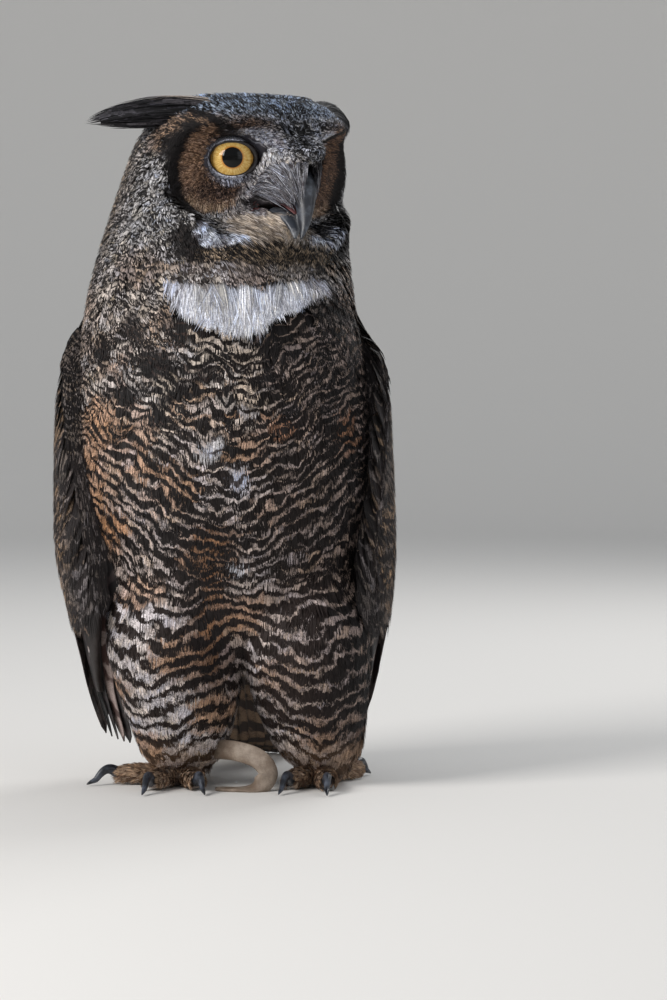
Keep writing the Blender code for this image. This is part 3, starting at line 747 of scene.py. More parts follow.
def feather_material(name, waver=1.1, softness=0.1, specks=0.72, grain=170.0, patchiness=1.2, shaft=0.6,
                     roughness=0.65, specular=0.25):
    """Plumage: the barred feather group fed with the marks that the mesh carries."""
    material, tree, shader = new_material(name)
    marks = node(tree, "ShaderNodeSeparateXYZ", {0: attribute(tree, "marks")}).outputs
    strand = node(tree, "ShaderNodeSeparateXYZ", {0: attribute(tree, "strand")}).outputs
    group = node(tree, "ShaderNodeGroup", {
        "Phase": marks[0], "Dark share": marks[1], "Across": marks[2], "Along": strand[1],
        "Chance": strand[2], "Light": attribute(tree, "light", "Color"),
        "Dark": attribute(tree, "dark", "Color"), "Waver": waver, "Softness": softness, "Specks": specks,
        "Grain": grain, "Patchiness": patchiness, "Shaft": shaft,
    }, node_tree=BARRED)
    tree.links.new(group.outputs["Colour"], shader.inputs["Base Color"])
    bumped(tree, shader, group.outputs["Height"], 0.25, 0.0006)
    shader.inputs["Roughness"].default_value = roughness
    shader.inputs["Specular IOR Level"].default_value = specular
    shader.inputs["Sheen Weight"].default_value = 0.05
    shader.inputs["Sheen Roughness"].default_value = 0.4
    return material


def write_marks(made, marks, strand, light, dark):
    """Stores the markings on each point of the mesh for the material to read."""
    count = len(made.data.vertices)
    for name, values in (("marks", marks), ("strand", strand)):
        values = np.broadcast_to(values, (count, 3)).astype(np.float32)
        made.data.attributes.new(name, "FLOAT_VECTOR", "POINT").data.foreach_set("vector", values.ravel())
    for name, values in (("light", light), ("dark", dark)):
        values = np.c_[values, np.ones(count)].astype(np.float32)
        made.data.attributes.new(name, "FLOAT_COLOR", "POINT").data.foreach_set("color", values.ravel())


def write_uv(made, uv):
    """Stores each point's place on the unwrap as the map OFBake."""
    layer = made.data.uv_layers.new(name="OFBake")
    used = np.empty(len(made.data.loops), np.int32)
    made.data.loops.foreach_get("vertex_index", used)
    layer.data.foreach_set("uv", uv.reshape(-1, 2)[used].astype(np.float32).ravel())


def points_of(made):
    """The mesh's points, back in millimetres round the point between the feet."""
    found = np.empty(len(made.data.vertices) * 3)
    made.data.vertices.foreach_get("co", found)
    return found.reshape(-1, 3) / MM + MIDDLE


plumage = feather_material("plumage")
skin.data.materials.clear()
fit(skin, plumage, "plumage", "trunk", "neck", "head", "leg_left", "leg_right", "foot_left", "foot_right",
    "wing_left", "wing_right", *(f"toe_{side}_{toe}" for side in TOES for toe in TOES[side]))


# ==== Body coat ====
# Soft contour feathers, each a fan of narrow overlapping strands rooted in the skin and laid over the one
# below like tiles. They follow the form downwards, so the belly flows onto the thighs without a seam.
STEP_U, STEP_V = 0.7548776662466927, 0.5698402909980532  # one over the plastic number, and over its square


def scatter(point, s_range, a_range, count, weight=None, seed=0, window=(220, 260)):
    """Evenly spread roots on a surface of two parameters: multiples of the two steps, less their whole part,
    run back through the summed area times weight, first along s, then along a. Returns points, s and a."""
    s = np.linspace(*s_range, window[0])
    a = np.linspace(*a_range, window[1])
    grid = point(*np.meshgrid(s, a, indexing="ij"))
    one, two = np.diff(grid, axis=0)[:, :-1], np.diff(grid, axis=1)[:-1]
    area = np.linalg.norm(np.cross(one, two), axis=-1)
    if weight is not None:
        area = area * weight((grid[:-1, :-1] + grid[1:, 1:]) / 2)
    rows = np.concatenate([[0], np.cumsum(area.sum(axis=1))])
    columns = np.concatenate([np.zeros((len(area), 1)), np.cumsum(area, axis=1)], axis=1)
    k = np.arange(count) + 0.5 + 17 * seed
    u, v = (STEP_U * k) % 1, (STEP_V * k) % 1
    r = np.interp(u * rows[-1], rows, np.arange(len(rows)))
    i = np.minimum(r.astype(int), len(area) - 1)
    line = columns[i]
    goal = v * line[:, -1]
    j = np.clip((line <= goal[:, None]).sum(axis=1) - 1, 0, area.shape[1] - 1)
    step = line[np.arange(count), j + 1] - line[np.arange(count), j]
    c = j + (goal - line[np.arange(count), j]) / np.maximum(step, 1e-9)
    s, a = np.interp(r, np.arange(len(s)), s), np.interp(c, np.arange(len(a)), a)
    return point(s, a), s, a


def walk(shape, roots, heading, length, steps, level, turn=0.0):
    """Spines: from each root a path of equal steps along the heading, turned by an angle round the outward
    direction and settled at each step's level. Returns points and outward directions."""
    X = settle(shape, roots, level[0])
    path, outs = [X], []
    for k in range(steps):
        _, out = outward(shape, X)
        outs.append(out)
        way = heading(X)
        way = unit(way - (way * out).sum(-1, keepdims=True) * out)
        side = np.cross(out, way)
        bend = np.broadcast_to(np.asarray(turn, float), len(X))[:, None] * (1 + 0.4 * k / steps)
        way = way * np.cos(bend) + side * np.sin(bend)
        X = settle(shape, X + way * (length / steps)[:, None], level[k + 1], 1)
        path.append(X)
    outs.append(outward(shape, X)[1])
    return np.stack(path, 1), np.stack(outs, 1)


def down(X):
    """Straight down, for each point."""
    return np.tile([0.0, 0.0, -1.0], (len(X), 1))


PATCH = 0.003  # the side of a feather's patch on the unwrap
LOWEST = 0.1  # how near a feather may come to the floor


def strand_fan(name, path, outs, width, strands, rng, look, place_of_bars, uv, strand_width=1.5,
               open_root=0.45, short_side=0.25, ragged=0.12, roll=0.35, material=plumage, slot="plumage"):
    """One mesh of fans of strands. A strand keeps its share of the feather's width, follows the spine with
    the outer ones shorter, and narrows to a point; its edges differ a little in height, by its own roll."""
    count, stops = path.shape[:2]
    t = np.linspace(0, 1, stops)
    c = np.linspace(-1, 1, strands)[None, :] + rng.uniform(-1, 1, (count, strands)) * (0.9 / strands)
    reach = 1 - short_side * c ** 2 - ragged * rng.random((count, strands))
    chance = rng.random((count, strands))
    # each strand's own spine, read off the feather's between its stops
    index = reach[..., None] * t * (stops - 1)
    i = np.minimum(index.astype(int), stops - 2)
    f = (index - i)[..., None]
    n = np.arange(count)[:, None, None]
    along = unit(np.gradient(path, axis=1))
    middle, ahead, out = (grid[n, i] * (1 - f) + grid[n, i + 1] * f for grid in (path, along, outs))
    ahead, out = unit(ahead), unit(out)
    across = unit(np.cross(ahead, out))
    spread = open_root + (1 - open_root) * np.sin(np.pi * np.minimum(t * 0.62, 0.5))
    offset = 0.5 * np.broadcast_to(width, (count,))[:, None, None] * c[..., None] * spread
    wander = (rng.random((count, strands, 1)) - 0.5) * strand_width * 1.6 * t ** 2
    lift = (chance[..., None] - 0.5) * 0.7 * t
    middle = middle + across * (offset + wander)[..., None] + out * lift[..., None]
    taper = np.sqrt(np.clip(1 - t ** 3, 0, 1)) * (0.75 + 0.25 * np.sin(np.pi * t))
    half = 0.5 * strand_width * (0.75 + 0.5 * rng.random((count, strands, 1))) * taper
    tilt = (rng.random((count, strands, 1)) - 0.5) * 2 * roll
    edge = (across * np.cos(tilt)[..., None] + out * np.sin(tilt)[..., None]) * half[..., None]
    pairs = np.stack([(middle - edge)[:, :, :-1], (middle + edge)[:, :, :-1]], axis=3)
    points = np.concatenate([pairs.reshape(count, strands, 2 * (stops - 1), 3), middle[:, :, -1:]], axis=2)
    points[..., 2] = np.maximum(points[..., 2], LOWEST)
    # its markings: the bars' phase goes its own way from feather to feather, and so do its share and shade
    each = points.shape[2]
    shape = (count, strands, each)
    m = look(path[:, -2] * 0.6 + path[:, -1] * 0.4)
    jitter = (rng.random(count) - 0.5) * 2 * m.jitter
    bars = place_of_bars(points.reshape(-1, 3)).reshape(shape) / m.period[:, None, None]
    slope = (rng.random((count, 1)) - 0.5) * (0.15 + 1.3 * m.jitter[:, None])
    bars = bars + jitter[:, None, None] + (slope * c - 0.3 * c ** 2)[..., None]
    bars = bars + (rng.random((count, strands, 1)) - 0.5) * 0.04
    at = np.concatenate([np.repeat(t[:-1], 2), t[-1:]])
    uneven = m.share + 0.45 * m.jitter * np.sin(2.4 * np.arange(count))
    values = (c[..., None], at, chance[..., None])
    sideways, lengthways, own = (np.broadcast_to(value, shape) for value in values)
    marks = np.stack([bars, np.broadcast_to(uneven[:, None, None], shape), sideways], -1)
    tint = 1 + (rng.random((count, 1)) - 0.5) * (0.3 + 0.7 * m.jitter[:, None])
    warmth = rng.normal(0, 0.5, (count, 1)) * np.array([0.06, 0.0, -0.12])
    rim = 1 - 0.55 * np.abs(c[..., None, None]) ** 5
    light = np.broadcast_to((m.light * (tint + warmth))[:, None, None] * rim, (*shape, 3))
    dark = np.broadcast_to((m.dark * tint)[:, None, None], (*shape, 3))
    # quads between the pairs and a triangle at the tip, strand after strand
    quads = [corner for k in range(0, 2 * (stops - 2), 2) for corner in (k, k + 1, k + 3, k + 2)]
    pattern = np.array([*quads, each - 3, each - 2, each - 1])
    first = np.arange(count * strands)[:, None]
    corners = (first * each + pattern).ravel()
    starts = (first * len(pattern) + 4 * np.arange(stops - 1)).ravel()
    made = new_mesh(name, points.reshape(-1, 3), corners, starts)
    write_marks(made, marks.reshape(-1, 3), np.stack([sideways, lengthways, own], -1).reshape(-1, 3),
                light.reshape(-1, 3), dark.reshape(-1, 3))
    write_uv(made, uv[:, None, None, :] + PATCH * np.stack([0.5 * sideways, lengthways - 0.5], -1))
    return fit(made, material, slot)


def within(share):
    """A share of the unwrap, kept clear of its edges."""
    return 0.02 + 0.96 * share


def unwrap(s, a, s_range, a_range):
    """The root's place on the skin's unwrap: its two parameters, each brought to between 0.02 and 0.98."""
    return np.stack([within((a - a_range[0]) / (a_range[1] - a_range[0])),
                     within((s - s_range[0]) / (s_range[1] - s_range[0]))], -1)


def lay_coat(name, shape, point, s_range, a_range, count, heading, length, width, strands, look, seed, level,
             keep=None, steps=3, weight=None, bars=bar_place, turn=0.12, window=(220, 260), **how):
    """A coat over a shape: scattered roots, their spines, and the fans of strands on them."""
    rng = np.random.default_rng(seed)
    roots, s, a = scatter(point, s_range, a_range, count, weight, seed, window)
    if keep is not None:
        kept = keep(roots, s, a)
        roots, s, a = roots[kept], s[kept], a[kept]
    length, width = (value(roots) if callable(value) else float(value) for value in (length, width))
    length = length * rng.uniform(0.88, 1.12, len(roots))
    width = width * rng.uniform(0.9, 1.1, len(roots))
    path, outs = walk(shape, roots, heading, length, steps, level, rng.normal(0, turn, len(roots)))
    uv = unwrap(s, a, s_range, a_range)
    return strand_fan(name, path, outs, width, strands, rng, look, bars, uv, **how)


MM_PER_DEGREE = 1.8  # round the folded wings, about 103 mm from their middle line


def wing_front(X):
    """How many millimetres a place lies behind the folded wing's front edge; negative in front of it."""
    z = X[..., 2]
    x, y = at_height(z, CLOAK_AT[:2])
    angle = np.degrees(np.arctan2(np.abs(X[..., 0] - x + 0.1 * (X[..., 1] - y)), -(X[..., 1] - y)))
    return (angle - np.interp(z, WING_Z, WING_FRONT)) * MM_PER_DEGREE


def ring_station(height):
    """The station of RINGS at a height."""
    s = np.linspace(0, len(RINGS) - 1, 3000)
    return np.interp(height, stations(RINGS, s)[0], s)


def clear_of_wing(X, s, a):
    """Roots in front of the folded wing, or just under its front edge."""
    return wing_front(X) < 14


LEVEL = (-8.0, -4.0, -0.8, 0.6)  # how far each stop of a spine stands out of the form
lay_coat("coat_vent", form, lambda s, a: body_point(s, a + np.pi), (ring_station(74), ring_station(132)),
         (-1.4, 1.4), 300, down, 27, 17, 20, body_marks, 15, LEVEL, strand_width=1.6, roll=0.3)
for seed, name, low, high, count in ((11, "coat_belly", 84, 205, 620), (12, "coat_breast", 195, 318, 660)):
    lay_coat(name, form, body_point, (ring_station(low), ring_station(high)), (-1.95, 1.95), count, down,
             31, 17, 34, body_marks, seed, LEVEL, keep=clear_of_wing, strand_width=1.25, roll=0.3)




# ==== Legs and white bib ====
# The drumsticks wear the same soft feathers, shorter, in regular bars down to the toes. The bib is a band
# of long silky strands under the throat that hang loose over the breast.
for seed, side in ((26, "right"), (25, "left")):
    lay_coat("coat_leg_" + side, form, lambda s, a, side=side: leg_point(side, s, a), (1.0, 5.75),
             (-np.pi, np.pi), 640, down, lambda X: 16 + 9 * ease(X[:, 2], 20, 80),
             lambda X: 10 + 5 * ease(X[:, 2], 20, 80), 26, body_marks, seed,
             (-6.0, -3.0, -0.6, 0.6), keep=lambda X, s, a: np.abs(form(X)) < 4,
             slot="pale_plumage", strand_width=1.15, roll=0.3)

# The bib's lower edge: x, height
BIB_HEM = [(-46, 318), (-36, 310), (-28, 301), (-4, 293), (8, 288), (18, 296), (28, 304), (44, 310),
           (58, 317)]


def bib_marks(X):
    """White, greyer with dark roots at its two sides."""
    m = Marks(len(X))
    edge = ease(np.abs(X[:, 0] - 7), 34, 50)
    m.paint(1, light=(232, 234, 242), dark=(168, 168, 178), share=0.12, period=30, jitter=0.5)
    m.paint(edge, light=(196, 196, 206), dark=(90, 84, 88), share=0.35)
    return m


def bib_length(X):
    """From each root down to the hem."""
    return np.clip(X[:, 2] - np.interp(X[:, 0], *np.array(BIB_HEM).T), 8, 60)


def on_bib(X, s, a):
    """Between the bib's two sides, which spread upwards."""
    spread = 0.7 * (X[:, 2] - 312)
    return (X[:, 0] > -23 - spread) & (X[:, 0] < 40 + spread)


lay_coat("coat_bib", form, body_point, (ring_station(312), ring_station(335)), (-0.95, 0.75), 520, down,
         bib_length, 10, 15, bib_marks, 31, (-4.5, -1.0, 1.2, 2.6, 2.8), keep=on_bib, steps=4,
         strand_width=0.9, ragged=0.3, turn=0.16, slot="pale_plumage", roll=0.7)


# ==== Wings and back ====
# Folded wings: firm coverts in rows over the long flight feathers, which reach down past them as a narrow
# blade on each side. Mantle feathers close the gap between the wings.
def wing_marks(X):
    """Mottled umber and grey with buff, barred; paler scapulars and a dark leading edge with a white hem."""
    m = Marks(len(X))
    back = wing_front(X)
    m.paint(1, light=(132, 116, 104), dark=(38, 31, 30), share=0.64, period=9.5, jitter=0.5)
    lead = 1 - ease(back, 10, 34)
    m.paint(lead, light=(112, 104, 102), dark=(32, 27, 27), share=0.7, period=15)
    spots = hump(np.sin(X[:, 0] * 0.21 + X[:, 2] * 0.13) - np.sin(X[:, 2] * 0.17 - X[:, 1] * 0.19), 0.35)
    m.paint(0.8 * spots * (1 - lead), light=(186, 150, 112), share=0.5)
    m.paint(ease(X[:, 2], 240, 296) * (1 - lead), light=(144, 124, 106), share=0.6, period=7)
    hem = (1 - ease(back, 1, 6)) * ease(X[:, 2], 190, 230)
    m.paint(hem, light=(130, 118, 110), dark=INK, share=0.66, period=6)
    return m


def wing_bars(X):
    """Height along the bars of the wings and the back, which slope down to the rear a little and sway."""
    x, y, z = X[..., 0], X[..., 1], X[..., 2]
    return (z + 0.3 * y + 2.5 * np.sin(x / 9 + z / 23) + 1.8 * np.sin(y / 7 - z / 13)
            + 2.0 * np.sin(x / 5 + y / 11))


def fold_down(X):
    """Down and a little backwards, as a folded wing's feathers lie."""
    hand = np.sign(X[:, 0] + 7)
    lean = 0.28 * (1 - ease(np.abs(X[:, 0] + 7), 20, 90))
    return np.stack([hand * (0.10 - lean), 0.16 + 0 * hand, -1.0 + 0 * hand], -1)


for side, hand in SIDES.items():
    lay_coat("coat_wing_" + side, cape, lambda s, a, hand=hand: cloak_point(s, hand * a), (126, 299),
             (0.85, np.pi), 620, fold_down, 34, 19, 30, wing_marks, 41 + hand,
             (-6.0, -3.2, -0.8, 0.6), keep=lambda X, s, a: wing_front(X) > 1, strand_width=1.4,
             open_root=0.55, short_side=0.35, ragged=0.06, roll=0.2, bars=wing_bars)

# Small coverts clothe the wing's front edge, where it stands proud of the breast
for side, hand in SIDES.items():
    rng = np.random.default_rng(57 + hand)
    count = 190
    top, deep = rng.uniform(132, 300, count), rng.uniform(0.5, 11, count)
    t = np.linspace(0, 1, 4)
    z = top[:, None] - 22 * t
    a = np.radians(np.interp(z, WING_Z, WING_FRONT) - 0.7)
    path = cloak_point(z, hand * a, -deep[:, None] - 1.5 * (1 - t))
    out = np.stack([-hand * np.cos(a), -np.sin(a), 0 * a], -1)
    strand_fan("coat_wing_edge_" + side, path, out, 7.0, 9, rng, wing_marks, wing_bars,
               np.stack([within(deep / 11), (top - 130) / 180], -1), strand_width=1.1)


def vanes(name, paths, outs, width, look, seed, camber=0.09, lap=0.0):
    """Flight feathers: each a sheet whose columns leave the shaft at a slant, arched across, its edge notched
    where barbs part; the shaft is a ridge down it. paths and outs are (feathers, stops, 3)."""
    rng = np.random.default_rng(seed)
    count, stops = paths.shape[:2]
    along = unit(np.gradient(paths, axis=1))
    outs = unit(outs + lap * unit(np.cross(along, outs)))
    across = unit(np.cross(along, outs))
    t = np.linspace(0, 1, stops)
    c = np.linspace(-1, 1, 17)
    wide = len(c)
    outline = np.clip(1 - ((t - 0.05) / 0.95).clip(0) ** 7, 0, 1) ** 0.5 * (0.45 + 0.55 * ease(t, 0, 0.25))
    notch = 1 - 0.10 * rng.random((count, stops, 1)) ** 3 * np.abs(c) ** 6
    offset = (width * outline)[:, None] * c * notch
    slant = 1.1 * np.abs(offset) * (1 - ease(t, 0.86, 1.0))[:, None]
    arch = -camber * offset ** 2 / width + 0.45 * hump(c, 0.12)
    top = (paths[:, :, None] + across[:, :, None] * offset[..., None]
           + along[:, :, None] * slant[..., None] * 0.35 + outs[:, :, None] * arch[..., None])
    points = np.stack([top, top - outs[:, :, None] * 0.5], 1)
    points[..., 2] = np.maximum(points[..., 2], LOWEST)
    # its markings: the bars slant away from the shaft and start at a place of their own on each feather
    length = np.linalg.norm(np.diff(paths, axis=1), axis=-1).sum(1)
    run = t[None, :, None] * length[:, None, None] + 0.55 * np.abs(offset)
    m = look(paths[:, stops // 2])
    own = 0.5 + (rng.random(count) - 0.5) * 2 * m.jitter
    shape = (count, 2, stops, wide)
    edge = (1 - 0.55 * c ** 6)[:, None]

    def table(*values):
        """Values for each point side by side, a row to a point."""
        return np.stack([np.broadcast_to(value, shape) for value in values], -1).reshape(-1, len(values))

    def per_feather(values):
        """One value for all points of a feather."""
        return values[:, None, None, None]

    write = (table((run / m.period[:, None, None] + own[:, None, None])[:, None], per_feather(m.share), c),
             table(c, 0.6 + 0.4 * t[:, None], per_feather(0.35 + 0.3 * own)),
             np.broadcast_to(per_feather(m.light) * edge, (*shape, 3)).reshape(-1, 3),
             np.broadcast_to(per_feather(m.dark) * edge, (*shape, 3)).reshape(-1, 3))
    # an upper and an under sheet, joined by a wall round the rim
    size = stops * wide
    sheet = grid_faces(stops, wide, closed=False)
    index = np.arange(size).reshape(stops, wide)
    rim = np.concatenate([index[0, :-1], index[:-1, -1], index[-1, :0:-1], index[:0:-1, 0]])
    beyond = np.roll(rim, -1)
    sides = np.stack([rim, beyond, beyond + size, rim + size], -1)
    faces = np.concatenate([sheet[:, ::-1], sheet + size, sides])
    made = mesh_of(name, points, (np.arange(count)[:, None, None] * 2 * size + faces).reshape(-1, 4))
    write_marks(made, *write)
    n, under, i, j = np.indices((count, 2, stops, wide))
    column = (n + 0.05 + 0.42 * (under + j / (wide - 1)) + 0.04 * under) / count
    write_uv(made, np.stack([column, within(i / (stops - 1))], -1))
    return fit(made, vane_feather, "plumage")


vane_feather = feather_material("flight feather", waver=0.5, softness=0.14, specks=0.5, shaft=0.0,
                                roughness=0.5, specular=0.35)


def flight_marks(X):
    """Mauve-brown vanes with broad darker bars; the first few are nearly black, some of them pale."""
    m = Marks(len(X))
    m.paint(1, light=(96, 80, 72), dark=(42, 34, 33), share=0.56, period=17, jitter=0.5)
    first = 1 - ease(np.arange(len(X)), 3.5, 4.5)
    turn = np.sin(np.arange(len(X)) * 2.4 + 2.0)
    m.paint(first, light=(58, 49, 49), dark=(26, 22, 23), share=0.62)
    m.paint(first * ease(-turn, 0.3, 0.8), light=(178, 160, 154), dark=(84, 64, 60), share=0.5, period=34)
    return m


# Sixteen to a wing, from the long outermost one by the leg to the short inner ones behind. The first few
# stand deeper, turned to face forwards, so that their edges show side by side between leg and wing.
for side, hand in SIDES.items():
    share = np.arange(16)[:, None] / 15
    t = np.linspace(0, 1, 26)[None, :]
    tip_z = 24 + 38 * share ** 1.4
    z = 180 + (tip_z - 180) * t
    front, back = np.interp(z, WING_Z, WING_FRONT), np.interp(z, WING_Z, WING_BACK)
    angle = front + 5 + (back - front - 10) * share
    ahead = np.clip(1 - share * 3.75, 0, 1)
    path = cloak_point(z, hand * np.radians(angle), -1.6 - 15 * ahead + 0 * z - 1.5 * (1 - t))
    _, out = outward(cape, path)
    out = unit(out + np.array([-0.25 * hand, -0.9, 0.0]) * ahead[..., None])
    flight = vanes("flight_feathers_" + side, path, out, 9.5, flight_marks, 51 + hand, lap=-0.17 * hand)
    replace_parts(flight, "primaries_" + side)

mottled = feather_material("mottled plumage", waver=1.8, specks=0.5, grain=200.0, patchiness=1.2)


# Mantle feathers over each shoulder, dotted black on white, where the neck runs out onto the wing
def shoulder_marks(X):
    """The neck's markings carried outwards, darker on the left, lower down and by the wing's front edge."""
    m = body_marks(X + [0, 0, 18])
    m.paint(ease(X[:, 0], 20, 60), light=(120, 96, 80), dark=INK, share=0.62)
    m.paint(1 - ease(X[:, 2], 250, 290), light=(134, 116, 102), dark=(36, 29, 28), share=0.64, period=7)
    m.paint(1 - ease(wing_front(X), 8, 30), light=(116, 100, 88), dark=(34, 28, 27), share=0.66)
    return m


def head_bars(X):
    """Height along the bars of the head and shoulders, which climb to the left."""
    return X[..., 2] + 0.4 * X[..., 0]


for side, hand in SIDES.items():
    lay_coat("coat_shoulder_" + side, cape, lambda s, a, hand=hand: body_point(s, hand * a),
             (ring_station(280), ring_station(320)), (0.85, 3.14), 480, fold_down,
             lambda X: 17 + 20 * ease(X[:, 2], 282, 318), 14, 20, shoulder_marks, 46 + hand,
             (-4.5, -0.8, 0.0, -1.8), keep=lambda X, s, a: wing_front(X) > 4, strand_width=1.2,
             slot="pale_plumage", material=mottled, bars=head_bars)


# ==== Tail ====
# Twelve broad flight feathers in a closed fan, laid back and down to the floor behind the feet. TAIL holds
# the fan's middle line: y, height, half width, half thickness.
TAIL = [(34, 132, 26, 12), (62, 101, 32, 11), (88, 68, 35, 8), (113, 37, 38, 6), (138, 13, 40, 4),
        (160, 2.6, 34, 2.5), (168, 2, 22, 2)]


def tail_marks(X):
    """Buff with umber bars, each feather a little lighter or darker than the next."""
    m = Marks(len(X))
    m.paint(1, light=(136, 112, 90), dark=(50, 39, 34), share=0.5, period=19, jitter=0.12)
    m.light = m.light * (0.94 + 0.16 * np.sin(np.arange(len(X)) * 2.3))[:, None]
    return m


share = (np.arange(12)[:, None] - 5.5) / 5.5
y, z, wide, thick = stations(TAIL, np.linspace(0, 1, 26) * (5.98 - share ** 2))
level = np.maximum(z + thick * 0.55 - 2.4 * np.abs(share) - share ** 2 * thick * 0.35, 1.3)
path = np.stack([-2 + share * np.maximum(wide - 8.5, 4), y, level + 2.4 * (1 - np.abs(share))], -1)
out = np.cross(np.array([1.0, 0, 0]), unit(np.gradient(path, axis=1)))
out = unit(out + np.stack([0.18 * share + 0 * y, 0 * y, 0 * y], -1))
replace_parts(vanes("tail_feathers", path, out, 8.2, tail_marks, 61, camber=0.05), "tail")


# ==== Neck and head ====
# Short dense feathers lie back over the crown, down the neck, and fan out from each eye to the dark rim of
# the facial disc. Stiff pale bristles sweep over the root of the bill.
def from_head(X, p, q, z):
    """A direction given in the head's frame, turned as the tube is at each point's height."""
    return turned(p, q, z, at_height(X[..., 2], AXIS_AT)[2])


def face_places(X):
    """A point of the face as: side of the head, distance from the middle, q, z, distance from the eye, and
    distance from the middle of the facial disc, 1 at its dark rim."""
    p, q = tube_frame(X)
    hand, side, z = np.where(p < 0, -1.0, 1.0), np.abs(p), X[..., 2]
    rim = np.hypot((side - DISC_P) / DISC_W, (z - RIM_Z) / RIM_H)
    return hand, side, q, z, np.hypot(side - IRIS_P, z - EYE_Z), rim


def lid_reach(inward, upward):
    """How far the lid's bare fold reaches from the eye: less above, below and towards the bill."""
    return 15.2 - 2.4 * np.abs(upward) ** 1.5 - 2.0 * np.clip(inward, 0, 1) + 1.8 * np.clip(-inward, 0, 1)


def in_disc(X):
    """1 in the facial disc, 0 outside it."""
    _, side, q, z, _, rim = face_places(X)
    return ((1 - ease(rim, 0.86, 0.94)) * ease(q, 0, 8) * ease(side + 0.3 * (z - 395), 20, 25)
            * (1 - ease(z - 411 - 0.33 * side, 0, 3)))


def stroke(side, z, line, width):
    """1 along a line of (side, z) places, fading over the width."""
    far = np.full(np.shape(side), 1e9)
    for (a, b), (c, d) in zip(line[:-1], line[1:]):
        t = np.clip(((side - a) * (c - a) + (z - b) * (d - b)) / ((c - a) ** 2 + (d - b) ** 2), 0, 1)
        far = np.minimum(far, np.hypot(side - a - t * (c - a), z - b - t * (d - b)))
    return 1 - ease(far / width, 0.6, 1.3)


def over_mouth(X):
    """Whether a point lies in the open gape."""
    _, side, q, z, _, _ = face_places(X)
    return mouth_slit(side, z, q) > 0.3


def bend(way, mask, *aim):
    """A direction of the head's frame, turned to its aim as strongly as the mask."""
    return way + mask[..., None] * (np.stack([value + 0 * mask for value in aim], -1) - way)


def head_way(X):
    """Down and back on the neck, back over the crown, out from the eye in the disc, forward by the bill."""
    hand, side, q, z, from_eye, _ = face_places(X)
    crown = ease(z, 418, 430)
    way = np.stack([0.25 * hand * crown, -0.35 - 0.8 * crown, -1 + 1.25 * crown], -1)
    front = ease(q, 5, 25) * (1 - ease(z, 366, 376))
    beard = front * ease(z, 336, 346) * (1 - ease(side, 26, 44))
    way = bend(way, front, -0.3 * hand, 0.3, -1)
    way = bend(way, beard, -0.6 * hand, 0.8, -0.75)
    along_brow = hump(z - 414 - 0.45 * (side - 12), 8) * ease(q, 5, 20) * ease(side, 4, 14)
    way = bend(way, along_brow, 0.9 * hand, -0.7, 0.45)
    r = np.maximum(from_eye, 1)
    way = bend(way, in_disc(X), hand * (side - IRIS_P) / r, -0.25, (z - EYE_Z) / r - 0.12)
    lore = (1 - ease(side + 0.3 * (z - 395), 17, 26)) * ease(z, 352, 362)
    lore = lore * (1 - ease(z, 404, 416)) * ease(q, 20, 30)
    way = bend(way, lore, -0.35 * hand, 0.95, -0.45 - 0.35 * ease(z, 385, 395))
    return unit(from_head(X, *np.moveaxis(way, -1, 0)))


